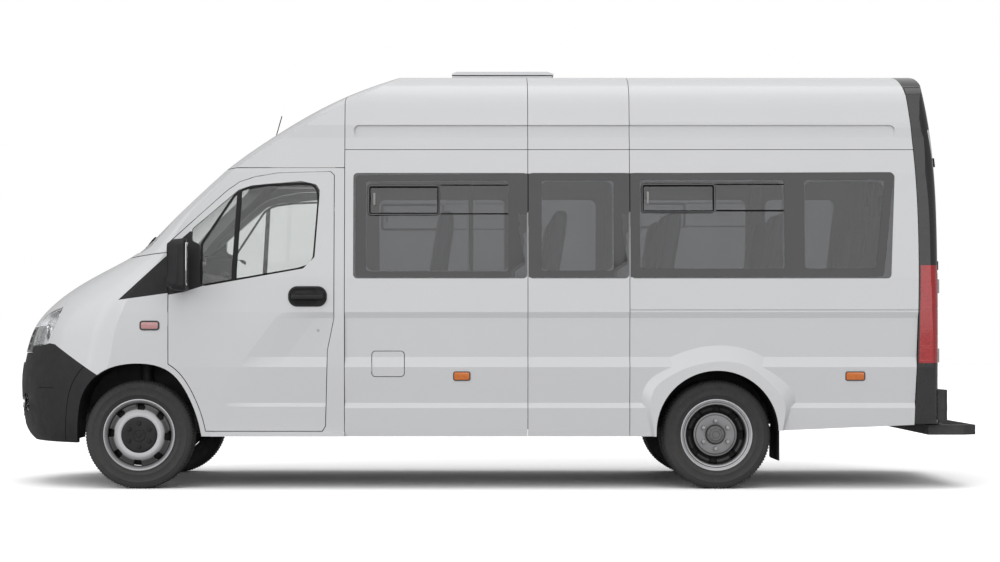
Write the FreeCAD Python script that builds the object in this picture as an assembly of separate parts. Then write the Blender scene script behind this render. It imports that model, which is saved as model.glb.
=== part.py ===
import FreeCAD
import Part
import math
import os
from FreeCAD import Vector

# Minibus with a high roof, seen with its front to -X, its left side to -Y and +Z up.
# The origin is the bottom centre of the whole vehicle, on the ground.

# Driving dimensions, millimetres
wheelbase = 3745.0
front_overhang = 930.0
rear_overhang = 1437.0
step_reach = 265.0
body_half_width = 1034.0
roof_height = 2735.0
sill_height = 342.0
floor_height = 660.0
tyre_radius = 350.0
tyre_width = 195.0
front_track = 1750.0
rear_track = 1560.0
twin_spacing = 210.0
rim_radius = 225.0
kingpin_inset = 75.0
wall = 60.0
panel_gap = 5.0
seat_gap = 0.3
glass = 5.0
glass_inset = 16.0
overrun = 400.0

# Axles and the ends of the body
front_axle_x = front_overhang - (front_overhang + wheelbase + rear_overhang + step_reach) / 2
rear_axle_x = front_axle_x + wheelbase
body_rear_x = rear_axle_x + rear_overhang
nose_x = front_axle_x - front_overhang
deck = floor_height


def ahead(share):
    return front_axle_x - share * front_overhang


def along(share):
    return front_axle_x + share * wheelbase


def behind(share):
    return rear_axle_x + share * rear_overhang


def high(share):
    return share * roof_height


def wide(share):
    return share * body_half_width


# Seams of the body
cab_end_x = along(0.3565)
middle_seam_x = along(0.6732)
rear_seam_x = along(0.8491)
roof_seam_z = high(0.8045)
dome_seam_z = high(0.7605)
waist_z = high(0.419)

# Builders for plain forms


def box(x0, x1, y0, y1, z0, z1):
    return Part.makeBox(x1 - x0, y1 - y0, z1 - z0, Vector(x0, y0, z0))


def rod(radius, start, end):
    line = Vector(*end) - Vector(*start)
    return Part.makeCylinder(radius, line.Length, Vector(*start), line)


def cone(r0, r1, start, end):
    line = Vector(*end) - Vector(*start)
    return Part.makeCone(r0, r1, line.Length, Vector(*start), line)


def rounded(points, radius):
    """A closed wire through the points with each corner turned by an arc."""
    edges = []
    count = len(points)
    marks = []
    for i, corner in enumerate(points):
        before = points[i - 1] - corner
        after = points[(i + 1) % count] - corner
        reach = min(before.Length, after.Length) * 0.45
        half = before.getAngle(after) / 2
        if radius <= 0 or half > math.radians(88):
            marks.append((corner, None, corner))
            continue
        reach = min(reach, radius / math.tan(half))
        turn = reach * math.tan(half)
        a = corner + before.normalize() * reach
        b = corner + after.normalize() * reach
        middle = (a + b) * 0.5 - corner
        centre_far = turn / math.sin(half)
        mid = corner + middle.normalize() * (centre_far - turn)
        marks.append((a, mid, b))
    for i, (a, mid, b) in enumerate(marks):
        if mid is not None:
            edges.append(Part.Arc(a, mid, b).toShape())
        start = marks[(i + 1) % count][0]
        if (start - b).Length > seat_gap / 10:
            edges.append(Part.LineSegment(b, start).toShape())
    return Part.Wire(edges)


def prism_y(points, y0, y1, radius=0):
    """Side view outline, x and z, drawn out across the vehicle."""
    wire = rounded([Vector(x, y0, z) for x, z in points], radius)
    return Part.Face(wire).extrude(Vector(0, y1 - y0, 0))


def prism_x(points, x0, x1, radius=0):
    """Front view outline, y and z, drawn out along the vehicle."""
    wire = rounded([Vector(x0, y, z) for y, z in points], radius)
    return Part.Face(wire).extrude(Vector(x1 - x0, 0, 0))


def prism_z(points, z0, z1, radius=0):
    """Plan view outline, x and y, drawn out upwards."""
    wire = rounded([Vector(x, y, z0) for x, y in points], radius)
    return Part.Face(wire).extrude(Vector(0, 0, z1 - z0))


def turned_y(profile, x, z):
    """A body of revolution round the line across the vehicle at x, z: radius and y pairs."""
    wire = Part.makePolygon([Vector(x + r, y, z) for r, y in profile + profile[:1]])
    return Part.Face(wire).revolve(Vector(x, 0, z), Vector(0, 1, 0), 360)


def mirrored(shape):
    return shape.mirror(Vector(0, 0, 0), Vector(0, 1, 0))


def pair(shape):
    return [shape, mirrored(shape)]


def joined(shapes):
    return shapes[0].fuse(shapes[1:]).removeSplitter()


def pipe(points, radius, bend):
    """A round tube along straight runs joined by tangent arcs."""
    spots = [Vector(*p) for p in points]
    edges = []
    start = spots[0]
    for before, corner, after in zip(spots, spots[1:], spots[2:]):
        a = (before - corner).normalize()
        b = (after - corner).normalize()
        half = a.getAngle(b) / 2
        reach = min(bend / math.tan(half), (before - corner).Length * 0.45, (after - corner).Length * 0.45)
        turn = reach * math.tan(half)
        first = corner + a * reach
        last = corner + b * reach
        mid = corner + (a + b).normalize() * (turn / math.sin(half) - turn)
        edges.append(Part.LineSegment(start, first).toShape())
        edges.append(Part.Arc(first, mid, last).toShape())
        start = last
    edges.append(Part.LineSegment(start, spots[-1]).toShape())
    circle = Part.Wire(Part.makeCircle(radius, spots[0], spots[1] - spots[0]))
    return Part.Wire(edges).makePipeShell([circle], True, False)


saved = []


def solids_of(shapes):
    found = []
    for shape in shapes if isinstance(shapes, (list, tuple)) else [shapes]:
        found.extend(shape.Solids)
    return found


def save(name, shapes):
    solids = solids_of(shapes)
    if not solids:
        raise ValueError(name + " is empty")
    whole = solids[0] if len(solids) == 1 else Part.Compound(solids)
    whole.exportStep("parts/" + name + ".step")
    saved.append((name, solids))


# Cross-section of the body: half width share and height share, from the sill up to the roof's turn
plain_side_share = [
    (0.974, 0.109), (0.9965, 0.289), (1.0, 0.419), (0.9942, 0.501),
    (0.9526, 0.7495), (0.9381, 0.8045), (0.9304, 0.8333), (0.9304, 0.8633), (0.9120, 0.9050),
]
# The same side with its two ledges and the groove under the waist
ledge_side_share = [
    (0.976, 0.125), (0.9884, 0.1923), (0.9749, 0.2044), (0.9965, 0.2892), (0.9787, 0.313),
    (0.9865, 0.4051), (1.0, 0.419), (0.9942, 0.501), (0.9526, 0.7495), (0.9381, 0.8045),
]
# Poles of the curve from the roof's side to its crown: half width share, height share,
# and the part of the wall that an inner one moves in and down
roof_poles_share = [(0.890, 0.9560, 1.0, 0.5), (0.841, 0.9952, 1.0, 1.0), (0.464, 1.0000, 0.5, 1.0)]


def roof_curve(inset, x):
    """The turn from the left roof side to the crown."""
    last_y, last_z = plain_side_share[-1]
    poles = [Vector(x, inset - wide(last_y), high(last_z))]
    for y, z, across, down in roof_poles_share:
        poles.append(Vector(x, inset * across - wide(y), high(z) - inset * down))
    poles.append(Vector(x, 0, roof_height - inset))
    curve = Part.BezierCurve()
    curve.setPoles(poles)
    return curve.toShape()


def line_through(points):
    return [Part.LineSegment(a, b).toShape() for a, b in zip(points, points[1:])]


def left_section(inset, drop, x0, x1):
    """The left half of the closed body section, drawn out along the vehicle."""
    side = [Vector(x0, inset - wide(y), high(z)) for y, z in plain_side_share]
    if drop > 0:
        side.insert(0, Vector(x0, side[0].y, side[0].z - drop))
    centre_foot = Vector(x0, 0, side[0].z)
    edges = line_through([centre_foot] + side)
    edges.append(roof_curve(inset, x0))
    edges += line_through([Vector(x0, 0, roof_height - inset), centre_foot])
    return Part.Face(Part.Wire(edges)).extrude(Vector(x1 - x0, 0, 0))


# The front of the body in level cuts: height share, nose place as a share of the front overhang ahead of
# the axle, or of the wheelbase behind it, depth of the plan curve as a share of the half width, its power
nose_share = [
    (0.1050, 0.880, 0.0000, 0.80, 2.10),
    (0.1390, 0.965, 0.0000, 0.82, 2.05),
    (0.1760, 0.990, 0.0000, 0.83, 2.05),
    (0.2220, 1.000, 0.0000, 0.83, 2.05),
    (0.2780, 0.996, 0.0000, 0.83, 2.05),
    (0.3290, 0.962, 0.0000, 0.82, 2.05),
    (0.3660, 0.928, 0.0000, 0.80, 2.05),
    (0.3990, 0.876, 0.0000, 0.77, 2.05),
    (0.4310, 0.790, 0.0000, 0.73, 2.10),
    (0.4870, 0.561, 0.0000, 0.64, 2.25),
    (0.5335, 0.290, 0.0000, 0.53, 2.50),
    (0.5705, 0.081, 0.0000, 0.42, 2.80),
    (0.6360, 0.000, 0.0334, 0.34, 3.10),
    (0.7020, 0.000, 0.0855, 0.33, 3.30),
    (0.7640, 0.000, 0.1356, 0.34, 3.20),
    (0.8410, 0.000, 0.2083, 0.42, 2.80),
    (0.9010, 0.000, 0.2758, 0.50, 2.60),
    (0.9510, 0.000, 0.3445, 0.60, 2.40),
    (0.9840, 0.000, 0.4032, 0.70, 2.20),
    (1.0040, 0.000, 0.4806, 0.80, 2.10),
]
sweep_share = (0.0, 0.2, 0.4, 0.58, 0.72, 0.83, 0.91, 0.965, 0.992, 1.0)
plan_half_width = wide(1.012)


def nose_place(row):
    return front_axle_x - row[1] * front_overhang + row[2] * wheelbase


def nose_curve(x, z, depth, power, half):
    """The rounded front in plan, from the right side round to the left."""
    points = [(x + depth * (1 - (1 - s ** power) ** (1 / power)), half * s) for s in sweep_share]
    path = [Vector(px, py, z) for px, py in reversed(points)]
    path += [Vector(px, -py, z) for px, py in points[1:]]
    curve = Part.BSplineCurve()
    curve.interpolate(path, InitialTangent=Vector(-1, 0, 0), FinalTangent=Vector(1, 0, 0))
    return curve.toShape()


def nose_rows(inset):
    """Each level cut moved square to the centre profile by the inset."""
    spots = [(nose_place(row), high(row[0])) for row in nose_share]
    rows = []
    for i, row in enumerate(nose_share):
        x0, z0 = spots[max(i - 1, 0)]
        x1, z1 = spots[min(i + 1, len(spots) - 1)]
        run = math.hypot(x1 - x0, z1 - z0)
        x = spots[i][0] + inset * (z1 - z0) / run
        z = spots[i][1] - inset * (x1 - x0) / run
        rows.append((x, z, row[3] * (plan_half_width - inset), row[4]))
    return rows


def nose_loft(inset, x_end):
    half = plan_half_width - inset
    wires = []
    rows = nose_rows(inset)
    if inset > 0:
        x, z, depth, power = rows[0]
        rows.insert(0, (x, z - 3 * inset, depth, power))
    for x, z, depth, power in rows:
        front = nose_curve(x, z, depth, power, half)
        ends = [Vector(x + depth, -half, z), Vector(x_end, -half, z), Vector(x_end, half, z),
                Vector(x + depth, half, z)]
        wires.append(Part.Wire([front] + line_through(ends)))
    return Part.makeLoft(wires, True, inset > 0)


def front_half(inset, drop):
    """The left half of the body as far back as the middle seam, solid."""
    block = left_section(inset, drop, nose_x - overrun, middle_seam_x)
    return nose_loft(inset, middle_seam_x + overrun).common(block)


def half_width(z):
    """Half width of the plain body side at a height."""
    spots = [(high(h), wide(y)) for y, h in plain_side_share]
    for (z0, y0), (z1, y1) in zip(spots, spots[1:]):
        if z <= z1:
            return y0 + (y1 - y0) * (z - z0) / (z1 - z0)
    return spots[-1][1]


def skin_slab(outer, inner, x0, x1, z0, z1):
    """A sheet of the left side between two depths under the skin, ledges left out."""
    levels = [z0] + [high(h) for y, h in plain_side_share if z0 < high(h) < z1] + [z1]
    face = [(outer - half_width(z), z) for z in levels]
    back = [(inner - half_width(z), z) for z in reversed(levels)]
    return prism_x(face + back, x0, x1)


# Wheel arches
front_arch_share = [
    (-1.18, -0.60), (-1.162, -0.10), (-1.133, 0.375), (-1.050, 0.740), (-0.734, 1.131), (-0.031, 1.326),
    (0.557, 1.191), (0.960, 0.663), (1.109, 0.260), (1.183, -0.10), (1.24, -0.60),
]
arch_band = 35.0
liner_gap = 4.0
liner_sheet = 6.0
liner_foot_share = 0.1180
rear_arch_gap = 44.0
rear_arch_lift = 24.0
house_inner_y = 560.0


def front_arch(extra, y0, y1):
    """The front wheel's arch as a solid across the body, grown by an extra width all round."""
    grow = tyre_radius + extra / 1.15
    points = [Vector(front_axle_x + x * grow, y0, tyre_radius + z * grow) for x, z in front_arch_share]
    curve = Part.BSplineCurve()
    curve.interpolate(points)
    wire = Part.Wire([curve.toShape(), Part.LineSegment(points[-1], points[0]).toShape()])
    return Part.Face(wire).extrude(Vector(0, y1 - y0, 0))


def rear_arch(extra, y0, y1):
    """The rear wheels' arch, a half circle on straight legs."""
    r = tyre_radius + rear_arch_gap + extra
    foot = tyre_radius / 2
    x, z = rear_axle_x, tyre_radius + rear_arch_lift
    left = Vector(x - r, y0, z)
    right = Vector(x + r, y0, z)
    edges = line_through([right, Vector(x + r, y0, foot), Vector(x - r, y0, foot), left])
    edges.append(Part.Arc(left, Vector(x, y0, z + r), right).toShape())
    return Part.Face(Part.Wire(edges)).extrude(Vector(0, y1 - y0, 0))


# Side view outlines of the cab door and its window: wheelbase share, height share
door_share = [
    (0.0529, 0.1382), (0.0529, 0.5820), (0.0630, 0.5945), (0.1533, 0.7060), (0.1752, 0.7269),
    (0.2016, 0.7389), (0.2414, 0.7481), (0.3316, 0.7517), (0.3378, 0.7433), (0.3378, 0.4050),
    (0.3266, 0.3294), (0.3231, 0.1500), (0.3178, 0.1382),
]
door_window_share = [
    (0.1085, 0.4790), (0.1060, 0.5800), (0.0918, 0.5880), (0.0935, 0.6165), (0.1730, 0.7093),
    (0.1971, 0.7196),
    (0.2809, 0.7302),
    (0.3076, 0.7218), (0.3138, 0.7075), (0.3049, 0.5492), (0.2852, 0.5221),
]
window_corner = 30.0


def side_view(shares):
    return [(along(x), high(z)) for x, z in shares]


def grown_prism(points, amount, y0, y1):
    """A side view outline grown by an amount and drawn out across the vehicle."""
    wire = rounded([Vector(x, y0, z) for x, z in points], 0)
    face = Part.Face(wire).makeOffset2D(amount)
    return face.extrude(Vector(0, y1 - y0, 0))


outside = -body_half_width - overrun
outer_half = front_half(0, 0)
inner_half = front_half(wall, overrun)
lined_half = front_half(wall + seat_gap, overrun)
shell = outer_half.cut(inner_half)

# Lines that split the front of the body
hood_edge_y = wide(0.677)
hood_rear_x = ahead(0.1200)
hood_front_z = high(0.3870)
grille_edge_y = wide(0.520)
grille_foot_z = high(0.3232)
fender_share = [(0.7000, 0.3390), (0.7000, 0.6000), (0.1200, 0.6000), (0.1200, 0.5484)]
bumper_share = [
    (1.3000, 0.0500), (1.3000, 0.3450), (0.6600, 0.3450), (0.6190, 0.3430), (0.2730, 0.2677),
    (0.1000, 0.2300), (0.1000, 0.0500),
]
# Front view outline of the left headlamp: half width share, height share
lamp_share = [
    (0.513, 0.3390), (0.490, 0.4000), (0.500, 0.4100), (0.583, 0.4212), (0.697, 0.4310), (0.742, 0.3990),
    (0.735, 0.3735), (0.716, 0.3450),
]
# Slots of the grille and of the intake below: reach across, foot and height share, rows, columns
grille_slots_share = (0.460, 0.3290, 0.0130, 3, 4)
intake_slots_share = (0.380, 0.1500, 0.0155, 3, 2)
slot_bar = 14.0
# Round pocket of the fog lamp, and the bumper's creases
fog_share = (0.484, 0.2007)
fog_radius = 65.0
fog_depth = 42.0
crease_depth = 5.0
crease_width = 4.0
bumper_band = 84.0
bumper_ledge_share = [(1.3000, 0.2960), (0.5850, 0.2990), (0.5850, 0.3600), (1.3000, 0.3600)]
bumper_crease_share = [(0.745, 0.2378), (0.618, 0.2378), (0.618, 0.2396), (0.745, 0.2396)]
# Front view outline of the windscreen: half width share, height share
screen_share = [(0.850, 0.5630), (0.800, 0.7560)]
screen_corner = 70.0
screen_inset = 4.0
screen_gap = 0.8


def front_side_view(shares):
    return [(ahead(x), high(z)) for x, z in shares]


def door_zone(extra):
    """The room of the left cab door across the body side, with the arch band taken away."""
    prism = grown_prism(side_view(door_share), extra, outside, -house_inner_y)
    return prism.cut(front_arch(arch_band - extra, outside, -house_inner_y))


def cab_door():
    """The left cab door: the body side cut out, its ledges run in behind the front edge."""
    door = shell.common(door_zone(0))
    window = prism_y(side_view(door_window_share), outside, -house_inner_y, window_corner)
    for groove in side_grooves():
        door = door.cut(groove)
    return door.cut(window)


# The two ledges and the waist groove on the cab door, from where each one starts and how far it leans back
ledge_start_share = [0.1455, 0.1730]
ledge_lean_share = [0.0, 0.75]
ledge_run_in = 260.0


def side_grooves():
    """Wedges that fade in from nothing and cut the ledges into the cab door."""
    notches = [ledge_side_share[1:4], ledge_side_share[3:7]]
    wedges = []
    for start, lean, notch in zip(ledge_start_share, ledge_lean_share, notches):
        x0, x1 = along(start), along(start) + ledge_run_in
        foot_z = high(notch[0][1])
        full = [Vector(x1, -wide(y), high(z)) for y, z in notch]
        foot, top = full[0], full[-1]
        full = [Vector(x1, foot.y - wall, foot.z)] + full + [Vector(x1, top.y - wall, top.z)]
        plain = [Vector(x0, -half_width(p.z) - seat_gap, p.z) for p in full[1:-1]]
        plain = [Vector(x0, full[0].y, foot.z)] + plain + [Vector(x0, full[-1].y, top.z)]
        for point in full + plain:
            point.x += lean * (point.z - foot_z)
        tip = Part.makePolygon(plain + plain[:1])
        ring = Part.makePolygon(full + full[:1])
        wedges.append(Part.makeLoft([tip, ring], True, True))
        wedges.append(Part.Face(ring).extrude(Vector(overrun * 2, 0, 0)))
    return wedges


def glass_sheet(points, depth, corner, clearance):
    """A pane under the left skin, cut to a side view outline."""
    xs = [x for x, z in points]
    zs = [z for x, z in points]
    sheet = skin_slab(depth, depth + glass, min(xs) - wall, max(xs) + wall, min(zs) - wall, max(zs) + wall)
    wire = rounded([Vector(x, outside, z) for x, z in points], corner)
    face = Part.Face(wire).makeOffset2D(-clearance)
    return sheet.common(face.extrude(Vector(0, overrun * 2, 0)))


def whole(half):
    """Both halves of a piece that crosses the middle, as one solid."""
    return joined([half, mirrored(half)])


def windscreen():
    """The curved pane, a little under the skin, inside its opening."""
    solids = []
    for depth in (screen_inset, screen_inset + glass):
        half = plan_half_width - depth
        wires = []
        for x, z, run, power in nose_rows(depth)[10:16]:
            x_end = x + run + overrun
            front_edge = nose_curve(x, z, run, power, half)
            ends = [Vector(x + run, -half, z), Vector(x_end, -half, z), Vector(x_end, half, z),
                    Vector(x + run, half, z)]
            wires.append(Part.Wire([front_edge] + line_through(ends)))
        solids.append(Part.makeLoft(wires, True, False))
    outer, inner = solids
    return outer.common(screen_prism(screen_gap)).cut(inner)


def screen_prism(clearance):
    foot = wide(screen_share[0][0]) - clearance
    top = wide(screen_share[1][0]) - clearance
    z0, z1 = high(screen_share[0][1]) + clearance, high(screen_share[1][1]) - clearance
    screen = [(-foot, z0), (foot, z0), (top, z1), (-top, z1)]
    return prism_x(screen, nose_x, along(0.18), screen_corner)


# Side windows of the passenger room: outline of each pane and the clear openings behind,
# as wheelbase and height shares
pane_foot_share = 0.4985
pane_top_share = 0.7490
pane_ends_share = [(0.3714, 0.6720), (0.6745, 0.8480), (0.8510, 1.3080)]
pane_rear_lean_share = 0.008
opening_foot_share = 0.5170
opening_top_share = 0.7290
openings_share = [(0.3940, 0.6420), (0.6956, 0.8190), (0.8680, 1.1140), (1.1520, 1.2880)]
opening_corner = 45.0
pane_corner = 28.0
pane_recess = 1.0
pocket = pane_recess + glass + seat_gap
seam = 4.0


def pane_outline(i):
    x0, x1 = (along(v) for v in pane_ends_share[i])
    lean = along(pane_ends_share[i][1] - pane_rear_lean_share) - x1 if i == 2 else 0
    z0, z1 = high(pane_foot_share), high(pane_top_share)
    return [(x0, z0), (x1 + lean, z0), (x1, z1), (x0, z1)]


def side_wall(x0, x1):
    """A stretch of the left wall with its ledges, from the sill to the roof seam."""
    top = roof_seam_z - seam / 2
    outer = [(-wide(y), high(z)) for y, z in ledge_side_share[:-1]] + [(-half_width(top), top)]
    outer[0] = (-wide(ledge_side_share[0][0]), sill_height)
    inner = [(wall - half_width(z), z) for y, z in reversed(outer)]
    return prism_x(outer + inner, x0, x1)


# Edge of the black rear corner and the slope of the rear face: rear overhang share, height share
pillar_share = [
    (0.8868, 0.0800), (0.8991, 0.3057), (0.9081, 0.5302), (0.9040, 0.6837),
    (0.8900, 0.8018), (0.8768, 0.8728), (0.8545, 0.9697), (0.8448, 1.0200),
]
rear_levels_share = (0.06, 0.18, 0.30, 0.42, 0.54, 0.66, 0.78, 0.90, 1.02)
rear_lean_share = (0.50, 0.0953, 3.2)
rear_taper_share = (0.40, 1.010, 0.22, 1.3)
rear_corner = 90.0
roof_end_z = high(0.9560)
rear_foot_z = high(0.1550)
rear_door_foot = high(0.2413)
rear_door_top = high(0.8520)
rear_door_edge = wide(0.8995)
rear_door_depth = 110.0
rear_window_share = [(0.1300, 0.7700), (0.5150, 0.7350)]


def behind_pillar(extra, y0, y1):
    """All that lies behind the edge of the black corner, moved forwards by the extra."""
    points = [Vector(behind(x) - extra, y0, high(z)) for x, z in pillar_share]
    curve = Part.BSplineCurve()
    curve.interpolate(points)
    far = body_rear_x + overrun
    ends = [points[-1], Vector(far, y0, points[-1].z), Vector(far, y0, points[0].z), points[0]]
    return Part.Face(Part.Wire([curve.toShape()] + line_through(ends))).extrude(Vector(0, y1 - y0, 0))


def rear_face_x(level):
    """The rear face stands upright to mid height and then leans forwards."""
    start, lean, power = rear_lean_share
    rise = max(0, level - start) / (rear_levels_share[-1] - start)
    return behind(1 - lean * rise ** power)


def rear_loft(inset):
    """The rear of the body in level cuts with rounded corners."""
    wires = []
    start, full, loss, power = rear_taper_share
    r = rear_corner - inset / 2
    cut = r * (1 - math.sqrt(0.5))
    levels = rear_levels_share
    if inset:
        levels = (levels[0] - overrun / roof_height,) + levels
    for level in levels:
        z = high(level)
        x = rear_face_x(level) - inset
        half = wide(full - loss * max(0, level - start) ** power) - inset
        x0 = rear_seam_x - overrun
        right = Part.Arc(Vector(x - r, half, z), Vector(x - cut, half - cut, z),
                         Vector(x, half - r, z)).toShape()
        left = Part.Arc(Vector(x, r - half, z), Vector(x - cut, cut - half, z),
                        Vector(x - r, -half, z)).toShape()
        edges = line_through([Vector(x0, -half, z), Vector(x0, half, z), Vector(x - r, half, z)])
        edges.append(right)
        edges += line_through([Vector(x, half - r, z), Vector(x, r - half, z)])
        edges.append(left)
        edges += line_through([Vector(x - r, -half, z), Vector(x0, -half, z)])
        wires.append(Part.Wire(edges))
    return Part.makeLoft(wires, True, False)


def rear_half(inset, drop):
    block = left_section(inset, drop, rear_seam_x + seam / 2, body_rear_x + overrun)
    return rear_loft(inset).common(block)


rear_outer = rear_half(0, 0)
rear_shell = rear_outer.cut(rear_half(wall, overrun))

# The long sunk band along the side of the roof
band_foot_share = 0.8350
band_top_share = 0.8632
band_ends_share = (0.3720, 1.3090)
band_depth = 12.0


def roof_band():
    x0, x1 = along(band_ends_share[0]), along(band_ends_share[1])
    z0, z1 = high(band_foot_share), high(band_top_share)
    outline = [(x0, z0), (x1, z0), (x1, z1), (x0, z1)]
    slab = skin_slab(-wall, band_depth, x0 - wall, x1 + wall, z0 - wall, z1 + wall)
    return slab.common(prism_y(outline, outside, 0, (z1 - z0) * 0.45))


def roof_strip(x0, x1):
    """The left half of a stretch of roof above the roof seam."""
    room = left_section(wall, overrun, x0 - wall, x1 + wall)
    above = box(x0, x1, outside, 0, roof_seam_z + seam / 2, roof_height + wall)
    return left_section(0, 0, x0, x1).cut(room).common(above)


# Roof hatch: place along and across the roof, and its frame
hatch_ends_share = (0.5400, 0.7210)
hatch_half_width = 300.0
hatch_rim = 30.0
hatch_rim_height = 24.0
hatch_lid_height = 22.0
hatch_lip = 12.0
hatch_gap = 5.0


def hatch_opening():
    x0, x1 = (along(v) for v in hatch_ends_share)
    inner = hatch_half_width - hatch_rim
    return box(x0 + hatch_rim, x1 - hatch_rim, -inner, inner, roof_height - wall - hatch_rim_height * 2,
               roof_height + wall)


def roof_panels():
    band = roof_band()
    top = box(cab_end_x + seam / 2, middle_seam_x - seam / 2, outside, 0, roof_seam_z + seam / 2,
              roof_height + wall)
    front_part = shell.common(top)
    middle_part = roof_strip(middle_seam_x + seam / 2, rear_seam_x - seam / 2)
    above = box(rear_seam_x, body_rear_x + overrun, outside, 0, roof_seam_z + seam / 2, roof_height + wall)
    low = box(rear_seam_x, body_rear_x + overrun, outside, 0, 0, roof_end_z)
    rear_part = rear_shell.common(above).cut(behind_pillar(seam, outside, 0).common(low))
    halves = [part.cut(band) for part in (front_part, middle_part, rear_part)]
    opening = hatch_opening()
    return [whole(half).cut(opening) for half in halves]


def rear_frame_zone():
    low = box(rear_seam_x, body_rear_x + overrun, outside, 0, rear_foot_z, roof_end_z - seam)
    return behind_pillar(0, outside, 0).common(low)


# Tail lamps sit on the black corners
tail_lamp_share = (0.2987, 0.5300)
tail_lamp_depth = 35.0


def tail_lamp_zone(clearance):
    z0, z1 = high(tail_lamp_share[0]) - clearance, high(tail_lamp_share[1]) + clearance
    lamp_inner_y = -rear_door_edge - panel_gap * 2 + clearance
    whole_zone = box(rear_axle_x, body_rear_x + overrun, outside, lamp_inner_y, z0, z1)
    depth = tail_lamp_depth + clearance
    core = box(rear_axle_x, body_rear_x - depth, depth - body_half_width, 0, z0, z1)
    return whole_zone.cut(core).common(behind_pillar(-seam - panel_gap + clearance, outside, 0))


def rear_frame():
    half = rear_shell.common(rear_frame_zone()).cut(tail_lamp_zone(seat_gap))
    opening = box(body_rear_x - overrun, body_rear_x + overrun, -rear_door_edge - panel_gap,
                  rear_door_edge + panel_gap,
                  rear_door_foot - panel_gap, rear_door_top + panel_gap)
    return whole(half).cut(opening)


def rear_doors():
    leaf = rear_shell.common(box(body_rear_x - rear_door_depth, body_rear_x + overrun, -rear_door_edge,
                                 -panel_gap / 2,
                                 rear_door_foot, rear_door_top))
    return leaf.cut(rear_window(0, body_rear_x - overrun, body_rear_x + overrun))


def rear_window(clearance, x0, x1):
    y0, y1 = (wide(v) for v in rear_window_share[0])
    z0, z1 = (high(v) for v in rear_window_share[1])
    c = clearance
    outline = [(c - y1, z0 + c), (-y0 - c, z0 + c), (-y0 - c, z1 - c), (c - y1, z1 - c)]
    return prism_x(outline, x0, x1, opening_corner)


def rear_pane():
    """The pane of a rear door leaf, following the slope of the rear face."""
    curves = []
    for depth in (glass_inset, glass_inset + glass):
        points = [Vector(rear_face_x(level) - depth, -body_half_width, high(level))
                  for level in rear_levels_share]
        curve = Part.BSplineCurve()
        curve.interpolate(points)
        curves.append((curve.toShape(), points))
    (outer, outer_points), (inner, inner_points) = curves
    ends = line_through([outer_points[-1], inner_points[-1]])
    ends += line_through([outer_points[0], inner_points[0]])
    wire = Part.Wire(Part.__sortEdges__([outer, inner] + ends))
    sheet = Part.Face(wire).extrude(Vector(0, body_half_width, 0))
    return sheet.common(rear_window(seat_gap, body_rear_x - overrun, body_rear_x + overrun))


# Wheel housings over the rear twin wheels and round the front wheels
def rear_house(extra):
    inner = house_inner_y - extra
    return rear_arch(extra + liner_gap, -body_half_width, -inner)


def front_house(extra):
    return front_arch(extra + liner_gap, -body_half_width, -house_inner_y + extra)


# Raised lip round the rear arch in side view, its outer line and its ridge, in tyre radii from the axle
flare_share = [
    (-1.20, -0.05), (-1.36, 0.50), (-1.40, 0.80), (-1.34, 1.05), (-1.083, 1.334), (-0.589, 1.591),
    (-0.166, 1.697),
    (0.234, 1.697), (0.589, 1.614), (0.966, 1.403), (1.154, 1.260), (1.317, 1.071), (1.45, 0.80),
    (1.40, 0.50), (1.22, -0.05),
]
flare_ridge_share = [
    (-1.16, -0.05), (-1.235, 0.50), (-1.22, 0.72), (-1.13, 0.90), (-0.900, 1.080), (-0.519, 1.260),
    (-0.166, 1.343),
    (0.257, 1.354), (0.589, 1.260), (0.823, 1.097), (0.950, 0.980), (1.100, 0.820), (1.22, 0.66),
    (1.25, 0.45), (1.18, -0.05),
]
flare_depths_share = (0.940, 0.976, 1.010)
# Where the lower edge of the rear quarter rises: rear overhang share, height share
rising_edge_share = [(0.2500, 0.0), (0.2500, 0.1382), (1.1000, 0.1573), (1.1000, 0.0)]
quarter_seam_z = high(0.4241)
quarter_seam_depth = 8.0


def flare():
    """The lip stands out from the wall up a slope to its ridge, and is flat from there to the arch."""
    wires = []
    for shares, depth in zip((flare_share, flare_share, flare_ridge_share), flare_depths_share):
        y = -wide(depth)
        points = [Vector(rear_axle_x + x * tyre_radius, y, tyre_radius + z * tyre_radius)
                  for x, z in shares]
        curve = Part.BSplineCurve()
        curve.interpolate(points)
        wires.append(Part.Wire([curve.toShape()] + line_through([points[-1], points[0]])))
    above = box(rear_seam_x, body_rear_x, outside, 0, sill_height, roof_height)
    return Part.makeLoft(wires, True, True).common(above)


def rear_quarter(panel):
    """The last side panel with its flared arch, its seam and its rising lower edge."""
    panel = joined([panel, flare()]).cut(rear_arch(0, outside, 0))
    half = seam / 2
    x0, x1 = rear_seam_x, body_rear_x
    groove = skin_slab(-wall, quarter_seam_depth, x0, x1, quarter_seam_z - half, quarter_seam_z + half)
    low = prism_y([(behind(x), high(z)) for x, z in rising_edge_share], outside, 0)
    return panel.cut([groove, low, behind_pillar(seam, outside, 0)])


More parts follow.
